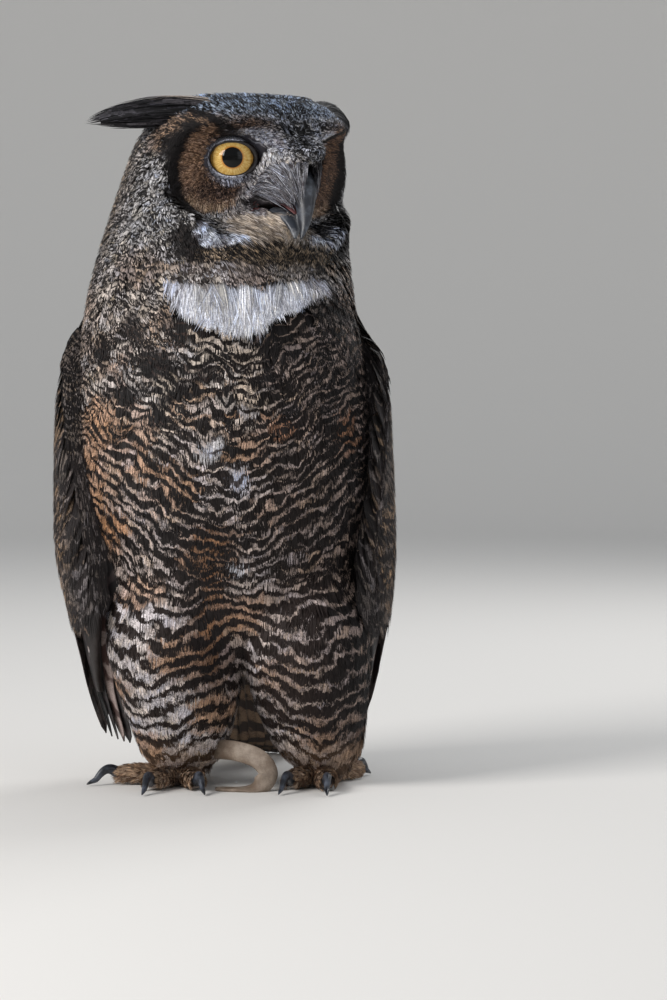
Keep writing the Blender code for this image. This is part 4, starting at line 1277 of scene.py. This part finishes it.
def head_marks(X):
    """The neck's markings with crown, brow, disc, rim, cheeks and throat laid over them."""
    m = body_marks(X)
    hand, side, q, z, from_eye, rim = face_places(X)
    front = ease(q, 0, 14)
    cheek = ease(z + 7 * np.sin(X[:, 0] / 8 + z / 19) * ease(-q, -20, 10), 326, 364) * (1 - ease(z, 418, 428))
    m.paint(cheek, light=(190, 188, 190), dark=(28, 24, 24), share=0.52, period=4.6)
    m.paint(cheek * ease(-q, -10, 40), light=(150, 135, 121), share=0.62)
    crown = ease(z, 416, 428)
    m.paint(crown, light=(140, 130, 122), dark=(22, 20, 21), share=0.66, period=3.6, jitter=0.5)
    # painted sky highlight: towards the front the crown's pale specks turn blue-white, as the sky lights them
    m.paint(crown * ease(q, -45, 10), light=(168, 184, 208))
    # the forehead, black with thin pale streaks, comes down in a point between the brows
    forehead = ease(z - 402 - 0.5 * side, 0, 3) * (1 - ease(z, 430, 442)) * front
    m.paint(forehead, light=(180, 182, 192), dark=(20, 18, 20), share=0.62, period=4.2)
    brown = forehead * hump(side - 40, 14) * (1 - ease(z, 428, 436))
    m.paint(brown, light=(156, 124, 102), dark=(36, 28, 26), share=0.6)
    temple = stroke(side, z, [(82, 412), (73, 428), (60, 431)], 5.5) * ease(q, -20, 0)
    m.paint(temple, light=(158, 130, 108), dark=(40, 32, 28), share=0.55, period=4)
    # the facial disc: rust-brown, paler in its outer half, dark and speckled under the eye, cream at its foot
    disc = in_disc(X)
    m.paint(disc, light=(158, 126, 104), dark=(58, 43, 37), share=0.48, period=2.4, jitter=0.5)
    outer = disc * ease(side, 48, 60) * ease(z, 384, 392)
    m.paint(outer, light=(178, 144, 118), dark=(104, 78, 62), share=0.38)
    under = hump(np.hypot((side - 34) / 20, (z - 385) / 11), 1.0)
    m.paint(disc * under, light=(120, 94, 80), dark=(38, 28, 26), share=0.62)
    hem = ease(rim, 0.66, 0.84) * ease(388 - z, 0, 14)
    m.paint(disc * hem, light=(192, 168, 144), dark=(110, 84, 66), share=0.35)
    # painted shade: the disc on the owl's left, turned away from the light, is darker, most of all in its
    # upper part
    m.paint(disc * (hand > 0) * ease(z, 372, 396), light=(122, 92, 72), dark=(52, 40, 35), share=0.5)
    lid = (1 - ease(from_eye, 16.5, 20.5)) * ease(q, 5, 10)
    m.paint(lid, light=(204, 208, 222), dark=(96, 94, 104), share=0.32, period=3, jitter=0.5)
    canthus = (1 - ease(np.hypot((side - 21.5) / 5.5, (z - 403) / 10), 0.7, 1.05)) * ease(q, 5, 10)
    m.paint(canthus, light=(34, 30, 30), dark=INK, share=0.8)
    # its black rim: a crescent on the outer side
    black = np.maximum.reduce([stroke(side, z, [(66, 427), (72, 415)], 3.0),
                               stroke(side, z, [(72, 415), (74.5, 403), (72.5, 391)], 4.8),
                               stroke(side, z, [(72.5, 391), (68, 378), (57, 364)], 5.0)])
    m.paint(black * ease(q, 3, 9), light=(34, 30, 31), dark=INK, share=0.88)
    cheek_mark = stroke(side, z, [(67, 356), (57, 346), (43, 336)], 6.5)
    m.paint(cheek_mark * front, light=(50, 42, 40), dark=INK, share=0.82)
    # pale streaks between eye and bill, bristles beside the bill
    lore = (1 - ease(side + 0.3 * (z - 395), 20, 27)) * ease(z, 352, 362)
    lore = lore * (1 - ease(z - 0.4 * side, 397, 402)) * front
    m.paint(lore, light=(170, 166, 168), dark=(92, 86, 90), share=0.42, period=9)
    m.paint(hump(np.hypot((side - 19) / 6, (z - 400) / 8), 1) * front, light=(214, 212, 216), share=0.2)
    # brow: a pale line up from the bill's root, a black one from over the eye out into the tuft
    brow = stroke(side, z, [(17, 405), (22, 412), (33, 419), (40, 422.5)], 2.4)
    m.paint(brow * front, light=(222, 222, 226), dark=(120, 112, 110), share=0.18)
    brow = stroke(side, z, [(27, 409), (34, 416), (46, 423), (57, 430), (62, 437)], 3.2)
    m.paint(brow * front, light=(34, 31, 33), dark=INK, share=0.88)
    # lips of the gape, black at its corner; silky pale beard, white under the disc, dark mottled ruff
    throat = (1 - ease(side, 26, 40)) * ease(z, 346, 354) * (1 - ease(z, 366, 373)) * front
    m.paint(throat, light=(196, 182, 168), dark=(100, 88, 78), share=0.32, period=8)
    corner = stroke(side, z, [(24, 378), (16, 376.5)], 2.4) * ease(q, 25, 32)
    m.paint(corner, light=(40, 34, 34), dark=INK, share=0.9)
    # the open gape: dark red, nearly black, partly its flesh and partly painted shade in the hollow
    m.paint(mouth_slit(side, z, q), light=(70, 30, 30), dark=(14, 8, 9), share=0.85)
    white = stroke(side, z, [(55, 360), (46, 351), (28, 352)], 5.5) * ease(q, 10, 25)
    m.paint(white, light=(222, 230, 246), dark=(134, 132, 144), share=0.2, period=6)
    ruff = stroke(side, z, [(0, 343), (30, 343), (46, 342)], 8) * front
    m.paint(ruff, light=(168, 146, 122), dark=(24, 20, 19), share=0.74, period=6)
    m.paint(stroke(side, z, [(46, 336), (74, 332)], 4) * front, light=(170, 150, 134), share=0.5)
    above_bib = hump((X[:, 0] + 12) / 24, 1) * hump(z - 331, 6) * front
    m.paint(0.75 * above_bib, light=(186, 184, 190), dark=(90, 80, 76), share=0.4)
    return m


def clear_of_face(X, s, a):
    """Roots outside the eyes, the mouth, the disc and the bib."""
    _, side, q, z, from_eye, _ = face_places(X)
    mouth = (side < 7) & (z > 357) & (z < 402) & (q > 40)
    bib = (X[:, 0] > -42) & (X[:, 0] < 54) & (z < 333 - 6 * ease(X[:, 0], 8, 22)) & (X[:, 1] < 0)
    slit = mouth_slit(side, z - 1.2, q) > 0.3
    lore = (side + 0.3 * (z - 395) < 22) & (z > 379) & (z < 404) & (q > 30)
    beard = (side < 33) & (z > 343) & (z < 372) & (q > 30)
    r = np.maximum(from_eye, 1)
    lid = (from_eye <= lid_reach((IRIS_P - side) / r, (z - EYE_Z) / r)) & (q >= 0)
    return ~(lid | mouth | slit | bib | lore | beard) & (in_disc(X) < 0.5)


# The skin wears the same marks as the coat; over face and crown it is nearly all dark
at = points_of(skin)
m = head_marks(at)
head = ease(at[:, 2], 335, 350)
bars = bar_place(at) / body_marks(at).period * (1 - head) + head_bars(at) / 6 * head
share = m.share + (0.97 - m.share) * head * ease(tube_frame(at)[1], 0, 12)
# under the wings, and along their front edges, the skin is as dark as the shadow there
hidden = np.maximum(ease(at[:, 1], 10, 30) * (1 - ease(at[:, 2], 120, 150)), hump(wing_front(at), 16))
share = share + (1.5 - share) * hidden * (1 - ease(at[:, 2], 290, 300))
# painted shade: the skin is darkened as a feather's root is, for it lies under the coat
write_marks(skin, np.stack([bars, share, 1 + 0 * bars], -1), (0.0, 0.2, 0.3), m.light, m.dark)

spotted = feather_material("spotted plumage", waver=2.2, softness=0.12, specks=0.25, grain=290.0,
                           patchiness=0.4)


def on_neck(X, s, a):
    """Roots below the face, and behind it up to the nape."""
    return clear_of_face(X, s, a) & ((X[:, 2] < 348) | (tube_frame(X)[1] < 0))


def on_head(X, s, a):
    """Roots on face and crown, and in front from the throat up."""
    return clear_of_face(X, s, a) & ((X[:, 2] > 364) | (tube_frame(X)[1] > -4))


lay_coat("coat_neck", form, body_point, (ring_station(286), ring_station(368)), (-np.pi, np.pi), 2000,
         head_way, lambda X: 20 - 8 * ease(X[:, 2], 300, 360), lambda X: 10 - 3.0 * ease(X[:, 2], 300, 360),
         13, head_marks, 71, (-5.5, -2.6, -0.6, 0.6), keep=on_neck, strand_width=1.1, bars=head_bars,
         turn=0.2, material=spotted)
lay_coat("coat_head", lambda X: np.maximum(form(X), X[..., 2] - 449.6), body_point,
         (ring_station(344), len(RINGS) - 1.02), (-np.pi, np.pi), 5400, head_way,
         lambda X: 10 - 3 * ease(tube_frame(X)[1], 0, 30), 5.5, 7, head_marks, 72,
         (-3.0, -1.4, -0.2, 0.6), keep=on_head, strand_width=0.9, bars=head_bars, turn=0.3,
         weight=lambda X: 1 + 1.2 * ease(tube_frame(X)[1], 0, 25), slot="pale_plumage", material=spotted)


def on_face(hand, side, z):
    """The face's place at a distance from the middle and a height: q is stepped until the form is met."""
    q = 45 + 0 * side
    for _ in range(12):
        q = np.clip(q - np.clip(form(place(hand * side, q, z)), -9, 9), 0, 80)
    return place(hand * side, q, z)


def disc_roots(hand):
    """The surface that one side's facial disc grows from."""
    def point(s, a):
        """s is the distance from the eye, a the direction round it."""
        return on_face(hand, IRIS_P + s * np.cos(a), EYE_Z + s * np.sin(a))
    return point


def on_disc(X, s, a):
    """Roots in the disc or close round the eye, outside the lid and the gape."""
    return ((in_disc(X) > 0.35) | (s < 25)) & (s > lid_reach(-np.cos(a), np.sin(a))) & ~over_mouth(X)


for side, hand in SIDES.items():
    lay_coat("coat_disc_" + side, form, disc_roots(hand), (12, 46), (-np.pi, np.pi), 3700, head_way,
             lambda X: 4.5 + 5 * ease(face_places(X)[4], 16, 34), 3.2, 5, head_marks, 75 + hand,
             (-1.6, -0.3, 0.5, 0.8), keep=on_disc, strand_width=0.6, bars=head_bars,
             slot="pale_plumage", roll=0.6, window=(60, 160), material=spotted)


def beard_point(s, a):
    """The throat from one side of the bill to the other: s is the height, a the distance from the middle."""
    return on_face(np.sign(a), np.abs(a), s)


# The beard: long silky hair-like feathers that sweep from the gape and the disc's edge down under the bill
silky = feather_material("silky plumage", waver=0.25, softness=0.25, specks=0.15, grain=290.0, patchiness=0.5)
lay_coat("coat_beard", form, beard_point, (341, 375), (-38, 38), 620, head_way, 17, 5.5, 11, head_marks, 78,
         (-3.5, -0.8, 0.8, 1.6), keep=lambda X, s, a: ~over_mouth(X), strand_width=0.55,
         bars=head_bars, slot="pale_plumage", roll=0.6, ragged=0.35, window=(60, 120), material=silky)


def bristle_marks(X):
    """From nearly black to white, hair by hair; the upper ones are the whitest."""
    m = Marks(len(X))
    chance = (np.sin(X @ [12.9, 7.3, 3.1]) * 437.5) % 1
    middle = ease(X[:, 2], 392, 402) * (1 - ease(np.abs(tube_frame(X)[0]), 7, 13))
    pale = np.clip((chance * 0.85 + 0.35 * ease(X[:, 2], 385, 400)) * (1 - 0.7 * middle), 0, 1)[:, None]
    m.light = tone(56, 54, 60) + pale * (tone(200, 202, 212) - tone(56, 54, 60))
    m.paint(1, dark=(70, 64, 68), share=0.15, period=12, jitter=0.5)
    return m


# Bristles: each a stiff curved hair from the face beside the bill, forward and down over the bill's side.
# The upper bill's rows: q, height, half width, half depth.
BILL_UPPER = [(44, 400, 9.5, 7), (48, 399, 9.5, 8), (57, 393, 9.2, 8.2), (63.5, 386, 8.0, 7.8),
              (68, 377, 6, 6.1), (71.8, 368, 4, 4.6), (75.2, 361, 2.3, 2.7), (77, 354.5, 0.5, 0.6)]
for side, hand in SIDES.items():
    rng = np.random.default_rng(85 + hand)
    count = 1500
    u, v = rng.random(count), rng.random(count)
    p0, z0 = 5 + (12 + 5 * u) * rng.random(count) ** 0.9, 405 - 22 * u
    root = on_face(hand, p0, z0)
    inward = from_head(root, -0.6 * hand + 0 * u, -0.6 + 0 * u, 0 * u)
    root = root + inward
    reach = 0.35 + 0.65 * rng.random(count)
    q1, z1, wide, deep = stations(BILL_UPPER, 1.6 + 3.2 * v)
    lean = 0.6 - 1.05 * u
    p1, rise = (wide + 0.7) * np.cos(lean), (deep + 0.7) * np.sin(lean)
    q1, z1 = q1 + 0.8 * rise, z1 + 0.6 * rise
    p1, q1, z1 = (a + (b - a) * reach for a, b in ((p0, p1), (tube_frame(root)[1], q1), (z0, z1)))
    tip = place(hand * p1, q1, z1)
    aside = hand * (1.5 + 2.5 * rng.random(count))
    middle = 0.5 * (root + tip) + from_head(root, aside, 1.5 + 0 * u, 0.5 + 3 * u)
    t = np.linspace(0, 1, 7)[None, :, None]
    path = (1 - t) ** 2 * root[:, None] + 2 * t * (1 - t) * middle[:, None] + t ** 2 * tip[:, None]
    even = np.ones(path.shape[:2])
    out = unit(from_head(path, hand * even, 0.5 * even, 0 * even))
    strand_fan("bristles_" + side, path, out, 2.0, 3, rng, bristle_marks, head_bars,
               within(np.stack([u, v], -1)), strand_width=0.42, ragged=0.35, roll=0.8, slot="pale_plumage")


# ==== Ear tufts ====
# Many long narrow feathers each, black, laid round a core as one plume that sweeps out from the brow. TUFTS
# holds the plumes' middle lines in the head's frame: p, q, height, half depth, half height.
TUFTS = {
    "right": [(28, 29, 433, 3, 3), (40, 18, 435.5, 9, 9), (56, 4, 437, 10, 10.5), (74, -10, 436, 9.5, 10.5),
              (92, -25, 433, 6.5, 7), (106, -37, 429, 1, 1)],
    "left": [(28, 29, 433, 3, 3), (40, 20, 437, 9, 8), (56, 10, 440, 10, 9), (74, 2, 439, 9.5, 9),
             (89, -4, 432, 7.5, 7), (95, -8, 423, 1.5, 1.5)],
}


def tuft_marks(X):
    """Black with a cold sheen, a pale upper edge near the root and rust under it."""
    m = Marks(len(X))
    p = tube_frame(X)[0]
    m.paint(1, light=(66, 64, 70), dark=(20, 19, 22), share=0.62, period=30, jitter=0.5)
    near = 1 - ease(np.abs(p), 46, 62)
    fringe = hump(-p - 62, 22) * ease(X[:, 2], 442, 445.5)
    m.paint(fringe, light=(186, 172, 158), dark=(60, 52, 50), share=0.4)
    m.paint(near * (1 - ease(X[:, 2], 429, 435)), light=(150, 116, 88), dark=(50, 38, 32), share=0.5)
    return m


for side, hand in SIDES.items():
    rng = np.random.default_rng(81 + hand)
    count = 110
    first = rng.uniform(0.0, 2.6, count)
    last = np.clip(first + rng.uniform(1.9, 3.2, count), 0, 5) - rng.uniform(0, 0.5, count) * (first < 1.8)
    around, deep = rng.uniform(0, 2 * np.pi, count), np.sqrt(rng.uniform(0.05, 1, count))
    t = np.linspace(0, 1, 6)
    p, q, z, wide, high = stations(TUFTS[side], first[:, None] + (last - first)[:, None] * t)
    middle = place(hand * p, q, z)
    ahead = unit(np.gradient(middle, axis=1))
    level = unit(np.cross(ahead, np.array([0, 0, 1.0])))
    rise = unit(np.cross(level, ahead))
    cosine, sine = np.cos(around)[:, None, None], np.sin(around)[:, None, None]
    settled = (0.85 + 0.15 * t) * deep[:, None]
    path = (middle + level * cosine * (wide * 0.8 * settled)[..., None]
            + rise * sine * (high * settled)[..., None])
    out = unit(level * cosine + rise * sine)
    strand_fan("ear_tuft_coat_" + side, path, out, 6.0, 9, rng, tuft_marks, head_bars,
               within(np.stack([around / (2 * np.pi), first / 2.6], -1)), strand_width=1.1, short_side=0.3,
               slot="dark_plumage")
    p, q, z, wide, high = stations(TUFTS[side], np.linspace(0.1, 4.4, 16))
    middle = place(hand * p, q, z)
    rings = tube(middle, wide * 0.5, high * 0.6, 14)
    core = tube_object("ear_tuft_core_" + side, rings)
    at = points_of(core)
    m = tuft_marks(at)
    bars = np.stack([head_bars(at) / m.period, m.share, 0 * m.share], -1)
    # the core is darkened as a feather's root is, with the same painted shade, and its pale bars are dimmed
    write_marks(core, bars, (0.0, 0.3, 0.3), m.light * 0.6, m.dark)
    fit(core, plumage, "dark_plumage", "ear_tuft_" + side)


# ==== Eyes ====
# Large fixed eyes of a golden iris round a black pupil under a clear wet dome, in a dark bare lid rim.
def gaze_frame(hand):
    """The eyeball's middle and the directions along its sight, sideways and up."""
    t = np.radians(EYE_OUT)
    middle = place(np.array(hand * EYE_P), np.array(float(EYE_Q)), np.array(float(EYE_Z)))
    turn = np.radians(through(AXIS, float(EYE_Z))[2])
    p, q = hand * np.sin(t), np.cos(t)
    sight = turned(p, q, 0.0, turn)
    up = np.array([0, 0, 1.0])
    return middle, sight, np.cross(up, sight), up


def eye_material():
    """Pupil, iris and dark edge by distance from the line of sight; fine fibres run out across the iris."""
    material, tree, shader = new_material("eye")
    gaze = node(tree, "ShaderNodeSeparateXYZ", {0: attribute(tree, "gaze")}).outputs
    flat = node(tree, "ShaderNodeCombineXYZ", {0: gaze[0], 1: gaze[1]}).outputs[0]
    r = vector_node(tree, "LENGTH", "Value", flat)
    wave = vector_node(tree, "MULTIPLY", 0, vector_node(tree, "NORMALIZE", 0, flat), (9, 9, 9))
    drift = node(tree, "ShaderNodeCombineXYZ", {2: math_node(tree, "MULTIPLY", r, 0.22)}).outputs[0]
    fibre = noise(tree, vector_node(tree, "ADD", 0, wave, drift), 1.6, 4, 0.65)
    colour = mixed(tree, ramp(tree, fibre, 0.3, 0.7), (*tone(196, 148, 70), 1), (*tone(232, 202, 128), 1))
    for low, high, most, further in ((10.5, 13.6, 0.75, (188, 132, 50)), (8.2, 6.6, 0.8, (176, 104, 30)),
                                     (13.5, 14.0, 1, (12, 10, 10))):
        colour = mixed(tree, ramp(tree, r, low, high, 0, most), colour, (*tone(*further), 1))
    colour = mixed(tree, ramp(tree, r, 6.75, 6.4), colour, (0.001, 0.001, 0.001, 1))
    tree.links.new(colour, shader.inputs["Base Color"])
    shader.inputs["Roughness"].default_value = 0.5
    shader.inputs["Specular IOR Level"].default_value = 0.0
    shader.inputs["Coat Weight"].default_value = 0.8
    shader.inputs["Coat IOR"].default_value = 1.38
    shader.inputs["Coat Roughness"].default_value = 0.02
    return material


iris_and_pupil = eye_material()
lid_skin = two_toned("lid rim", (14, 12, 12), (44, 36, 34), (900, 3), None, (0.5, 0.0004), 0.38)
lid_down = two_toned("lid down", (92, 90, 98), (214, 218, 232), (1100, 3, 0.6), (0.4, 0.62), (0.6, 0.0005),
                     0.7)
LID_R = 16.3  # how far the lid lies from the eyeball's middle
LID_BEND = 15.2  # how far from the line of sight the lid leaves the ball

for side, hand in SIDES.items():
    middle, sight, across, up = gaze_frame(hand)
    # the eyeball bulges a little in front and is drawn in behind the lid's edge
    bow = np.linspace(0.004, np.pi - 0.004, 60)[:, None, None]
    a = circle(72)[None, :, None]
    radius = EYE_R - 0.9 * ease(bow, np.radians(50), np.radians(58))
    radius = radius + 0.35 * (1 - ease(bow, 0, np.radians(52)))
    eye = tube_object("eyeball_" + side, middle + radius * np.cos(bow) * sight
                      + radius * np.sin(bow) * (np.cos(a) * across + np.sin(a) * up))
    local = (points_of(eye) - middle) @ np.stack([across, up, sight], -1)
    # its rear half all counts as dark edge
    local[local[:, 2] < 0] = [0, 15.5, 0]
    gaze = eye.data.attributes.new("gaze", "FLOAT_VECTOR", "POINT")
    gaze.data.foreach_set("vector", local.astype(np.float32).ravel())
    fit(eye, iris_and_pupil, "eye", "eye_" + side)
    # the lid's edge: a soft roll round the eye, a little wider than high, thicker towards the bill and above
    a, b = circle(96), circle(14)[None, :, None]
    above, below, inner = np.clip(np.sin(a), 0, 1), np.clip(-np.sin(a), 0, 1), -hand * np.cos(a)
    corner = np.clip(inner, 0, 1) ** 3
    reach = 14.6 - 4.1 * above ** 1.5 - 2.9 * below ** 1.6 + 1.1 * corner
    thick = (0.6 + 0.5 * above + 2.2 * corner)[:, None, None]
    radial = np.cos(a)[:, None] * across + np.sin(a)[:, None] * up
    from_middle = np.sqrt(LID_R ** 2 - reach ** 2)[:, None] * sight + reach[:, None] * radial
    away = unit(from_middle)
    tangent = unit(np.cross(unit(-np.sin(a)[:, None] * across + np.cos(a)[:, None] * up), away))
    roll = np.cos(b) * tangent[:, None] * 1.15 + 0.8 * np.sin(b) * away[:, None]
    fit(hoop_object("lid_rim_" + side, (middle + from_middle)[:, None] + thick * roll), lid_skin, "eye")
    # the lid itself: folded skin from that edge out and back under the feathers, closed behind
    t = np.array([0.0, 0.15, 0.4, 0.7, 1.0, 1.0, 0.5, 0.0])[:, None]
    over = np.array([0.5, 1.3, 1.5, 0.9, -0.5, -2.0, -0.4, -0.5])[:, None]
    reach = reach + (lid_reach(inner, np.sin(a)) + 1.6 - reach) * t
    fold = over + 0.25 * np.sin(reach * 3.1) * (t * (1 - t) * 4)
    ball = np.sqrt(np.maximum(LID_R ** 2 - np.minimum(reach, LID_BEND) ** 2, 1))
    rise = fold + ball - 0.7 * np.maximum(reach - LID_BEND, 0)
    rings = middle + rise[..., None] * sight + reach[..., None] * radial
    fit(hoop_object("lid_fold_" + side, rings), lid_down, "eye")


# ==== Bill, tongue and claws ====
# Blue-black horn, smooth and slightly glossy, greyer and scuffed at its edges; the tongue is soft and pink.
# The rows are in the head's frame: q, height, half width, half depth.
BILL_LOWER = [(44, 374, 8.4, 2.6), (54, 370.5, 7.6, 2.9), (62, 365, 5.6, 2.6), (68, 359, 2.8, 1.6),
              (70.5, 355.5, 0.8, 0.7)]
TONGUE = [(42, 379.3, 4, 1), (50, 377.8, 4.6, 1.4), (58, 374, 3.6, 1.3), (61.5, 371.2, 1.2, 0.7)]


def bill_rings(rows, steps, around, ridge=0.0, groove=0.0):
    """A tube in the head's middle plane: its ring is an ellipse, ridged on top and hollowed underneath."""
    q, z, wide, deep = stations(rows, np.linspace(0, len(rows) - 1, steps))
    along = unit(np.gradient(np.stack([q, z], -1), axis=0))
    a = circle(around)
    ring = np.sin(a) + ridge * hump(a - np.pi / 2, 0.35) + groove * hump(a - 1.5 * np.pi, 0.7)
    rise = deep[:, None] * ring
    q, z = q[:, None] - along[:, 1:] * rise, z[:, None] + along[:, :1] * rise
    return place(wide[:, None] * np.cos(a), q, z)


def horn_material(name, base, edge, scale, rough=0.32):
    """Horn: streaks of a greyer tone and fine scratches, smoother where it is darker."""
    material, tree, shader = new_material(name)
    where = mesh_place(tree)
    streak = noise(tree, where, scale, 4, 0.6)
    colour = mixed(tree, ramp(tree, streak, 0.42, 0.75), (*tone(*base), 1), (*tone(*edge), 1))
    tree.links.new(colour, shader.inputs["Base Color"])
    tree.links.new(ramp(tree, streak, 0.3, 0.7, rough, rough + 0.22), shader.inputs["Roughness"])
    bumped(tree, shader, noise(tree, where, scale * 9, 2), 0.25, 0.0003)
    return material


horn = horn_material("horn", (38, 40, 46), (92, 98, 108), 130)
lower_horn = horn_material("lower horn", (52, 56, 64), (138, 140, 144), 130)
claw_horn = horn_material("claw horn", (26, 28, 34), (78, 84, 96), 160, 0.26)
flesh = two_toned("tongue", (86, 48, 52), (138, 88, 88), (1500, 2), None, (0.5, 0.0003), 0.3)
fit(tube_object("bill_upper_horn", bill_rings(BILL_UPPER, 40, 36, 0.08)), horn, "horn", "bill_upper")
fit(tube_object("bill_lower_horn", bill_rings(BILL_LOWER, 26, 28)), lower_horn, "horn", "bill_lower")
fit(tube_object("tongue_flesh", bill_rings(TONGUE, 20, 20, 0, 0.3)), flesh, "mouth", "tongue")
for side in TOES:
    for toe, (end, tip) in TOES[side].items():
        end, tip = np.array(end, float), np.array(tip, float)
        t = np.linspace(0, 1, 22)
        start = end - unit(tip - end) * 3
        height = 6.2 + 4.8 * np.sin(np.pi * np.minimum(t / 0.7, 1)) - 5.0 * t ** 2.2
        middle = np.column_stack([start + (tip - start) * (t ** 0.85)[:, None], height])
        radius = 3.7 * (1 - t) ** 0.7 + 0.35
        rings = tube(middle, radius * 0.88, radius, 18)
        fit(tube_object(f"claw_horn_{side}_{toe}", rings), claw_horn, "horn", f"claw_{side}_{toe}")


# ==== Toes' feathers ====
# Short buff bristly feathers over the top and sides of each toe, down to the base of the claw.
def toe_marks(X):
    """Buff and brown, a little darker on top."""
    m = Marks(len(X))
    m.paint(1, light=(176, 150, 126), dark=(112, 86, 68), share=0.35, period=7, jitter=0.5)
    m.paint(ease(X[:, 2], 9, 16), light=(162, 134, 110))
    return m


def toe_coat(name, foot, axis, seed):
    """The coat of a toe whose middle line runs from the foot along the axis."""
    def shape(X):
        """Distance out of the toe: from its middle line, less its radius there."""
        t = np.clip(((X - foot) @ axis) / (axis @ axis), 0, 1)
        return np.linalg.norm(X - foot - t[..., None] * axis, axis=-1) - toe_radius(t)

    def point(s, a):
        """The toe's tube: s along it, a over it from one side to the other."""
        sideways, r = unit(np.cross(axis, [0, 0, 1.0])), toe_radius(s)
        return (foot + s[..., None] * axis + (r * np.cos(a))[..., None] * sideways
                + (r * np.sin(a))[..., None] * [0, 0, 1.0])

    lay_coat(name, shape, point, (0.12, 0.97), (-0.35, np.pi + 0.35), 230,
             lambda X: np.tile(unit(axis) + [0, 0, -0.25], (len(X), 1)), 8.0, 4.0, 8, toe_marks, seed,
             (-1.4, -0.4, 0.5, 1.1), strand_width=0.6, slot="pale_plumage", window=(30, 40),
             turn=0.25, roll=0.7, material=silky)


for side, foot in FEET.items():
    foot = np.array([*foot, 7.4])
    for number, (toe, (end, _)) in enumerate(TOES[side].items()):
        toe_coat(f"coat_toe_{side}_{toe}", foot, np.array([*end, 5.8]) - foot, 90 + number)


# ==== Anklets and strap ====
# Soft tan leather: a cuff round each ankle and a flat strap from the right one, its free end on the floor.
# The strap's middle line is a row of points; each cuff's section is a row of (radius, height).
JESS = [(-21.5, -11, 24), (-12, -27, 25), (2, -40, 25), (16, -46, 20.5), (22, -48, 11), (15, -49, 3),
        (1, -46, 1.1), (-12, -43, 1.1)]
CUFF = [(11.2, 17.6), (11.6, 17.0), (13.0, 17.1), (13.4, 17.8), (13.4, 29.2), (13.0, 29.9), (11.6, 30.0),
        (11.2, 29.4)]
leather, tree, shader = new_material("leather")
where = mesh_place(tree)
grain = node(tree, "ShaderNodeTexVoronoi", {"Vector": where, "Scale": 900}).outputs["Distance"]
worn = ramp(tree, noise(tree, where, 70, 4, 0.6), 0.35, 0.7)
colour = mixed(tree, worn, (*tone(112, 96, 82), 1), (*tone(156, 142, 128), 1))
colour = mixed(tree, ramp(tree, grain, 0.5, 0.0, 0, 0.35), colour, (*tone(96, 76, 58), 1))
tree.links.new(colour, shader.inputs["Base Color"])
bumped(tree, shader, grain, 0.4, 0.0004)
shader.inputs["Roughness"].default_value = 0.6

s = np.linspace(0, len(JESS) - 1, 90)
middle = np.stack(stations(JESS, s), -1)
along = unit(np.gradient(middle, axis=0))
lie = ease(s, 4, 6)[:, None]
wide = unit(np.cross(along, np.array([0.3, -1.0, 0.0]) * (1 - lie) + np.array([0, 0, 1.0]) * lie))
thick = unit(np.cross(wide, along))
half, edge = 6.5, 1.0  # half the strap's width and half its thickness
outline = [(-half, 0), (-half + 0.5, -edge), (-half / 3, -edge), (half / 3, -edge), (half - 0.5, -edge),
           (half, 0), (half - 0.5, edge), (half / 3, edge * 0.9), (-half / 3, edge * 0.9),
           (-half + 0.5, edge)]
rounded = np.sqrt(np.clip(1 - (np.clip(s - 6.3, 0, 0.7) / 0.72) ** 2, 0.02, 1))
rings = np.stack([middle + wide * (a * rounded)[:, None] + thick * b for a, b in outline], axis=1)
rings[..., 2] = np.maximum(rings[..., 2], 0.05)
fit(tube_object("jess_strap", rings), leather, "leather", "jess_right")
for side, (x, y) in FEET.items():
    rings = np.stack([upright_ring(x, y, r, h, circle(64)) for r, h in CUFF])
    fit(hoop_object("anklet_cuff_" + side, rings), leather, "leather", "anklet_" + side)




# ==== Floor, light and camera ====
# A plain pale floor that curves up all round like a wide dish, three large soft lamps and an even sky.
def make_floor():
    """A dish turned from its profile: level to 3 m, then a quarter circle of 1.3 m up to its rim."""
    bend = np.linspace(0, np.pi / 2, 20)
    r = np.concatenate([[1.0], np.linspace(300, 3000, 10), 3000 + 1300 * np.sin(bend[1:])])
    z = np.concatenate([np.zeros(11), 1300 * (1 - np.cos(bend[1:]))])
    a = circle(96)
    return mesh_of("floor", upright_ring(0.0, 0.0, r[:, None], z[:, None], a), grid_faces(len(r), len(a)))


floor = make_floor()
pale, tree, shader = new_material("pale floor")
shader.inputs["Base Color"].default_value = (0.8, 0.78, 0.75, 1)
shader.inputs["Roughness"].default_value = 0.8
floor.data.materials.append(pale)


def lamp(name, place_at, aim, size, power, colour):
    """A square soft lamp at a place, turned to its aim."""
    data = bpy.data.lights.new(name, "AREA")
    data.shape, data.size, data.energy, data.color = "SQUARE", size, power, colour
    made = bpy.data.objects.new(name, data)
    made.location = place_at
    made.rotation_euler = (Vector(aim) - Vector(place_at)).to_track_quat("-Z", "Y").to_euler()
    bpy.context.scene.collection.objects.link(made)


lamp("key", (-1.5, -1.3, 1.3), (0, 0, 0.25), 1.0, 42, (1.0, 0.98, 0.96))
lamp("fill", (1.7, -1.4, 0.9), (0, 0, 0.25), 1.4, 5, (0.93, 0.96, 1.0))
lamp("rim", (0.9, 1.3, 1.5), (0, 0, 0.3), 0.9, 14, (1.0, 1.0, 1.0))
world = bpy.data.worlds.new("even sky")
world.use_nodes = True
world.node_tree.nodes["Background"].inputs[0].default_value = (0.86, 0.9, 0.95, 1)
world.node_tree.nodes["Background"].inputs[1].default_value = 0.42
bpy.context.scene.world = world
bpy.context.scene.view_settings.view_transform = "Standard"

camera = bpy.data.objects.new("camera", bpy.data.cameras.new("camera"))
camera.data.lens, camera.data.sensor_width = 121.8, 36
camera.data.clip_start, camera.data.clip_end = 0.1, 20
camera.location = (0.071, -2.26, 0.283)
camera.rotation_euler = (np.radians(90 - 2.5), 0, 0)
bpy.context.scene.collection.objects.link(camera)
bpy.context.scene.camera = camera
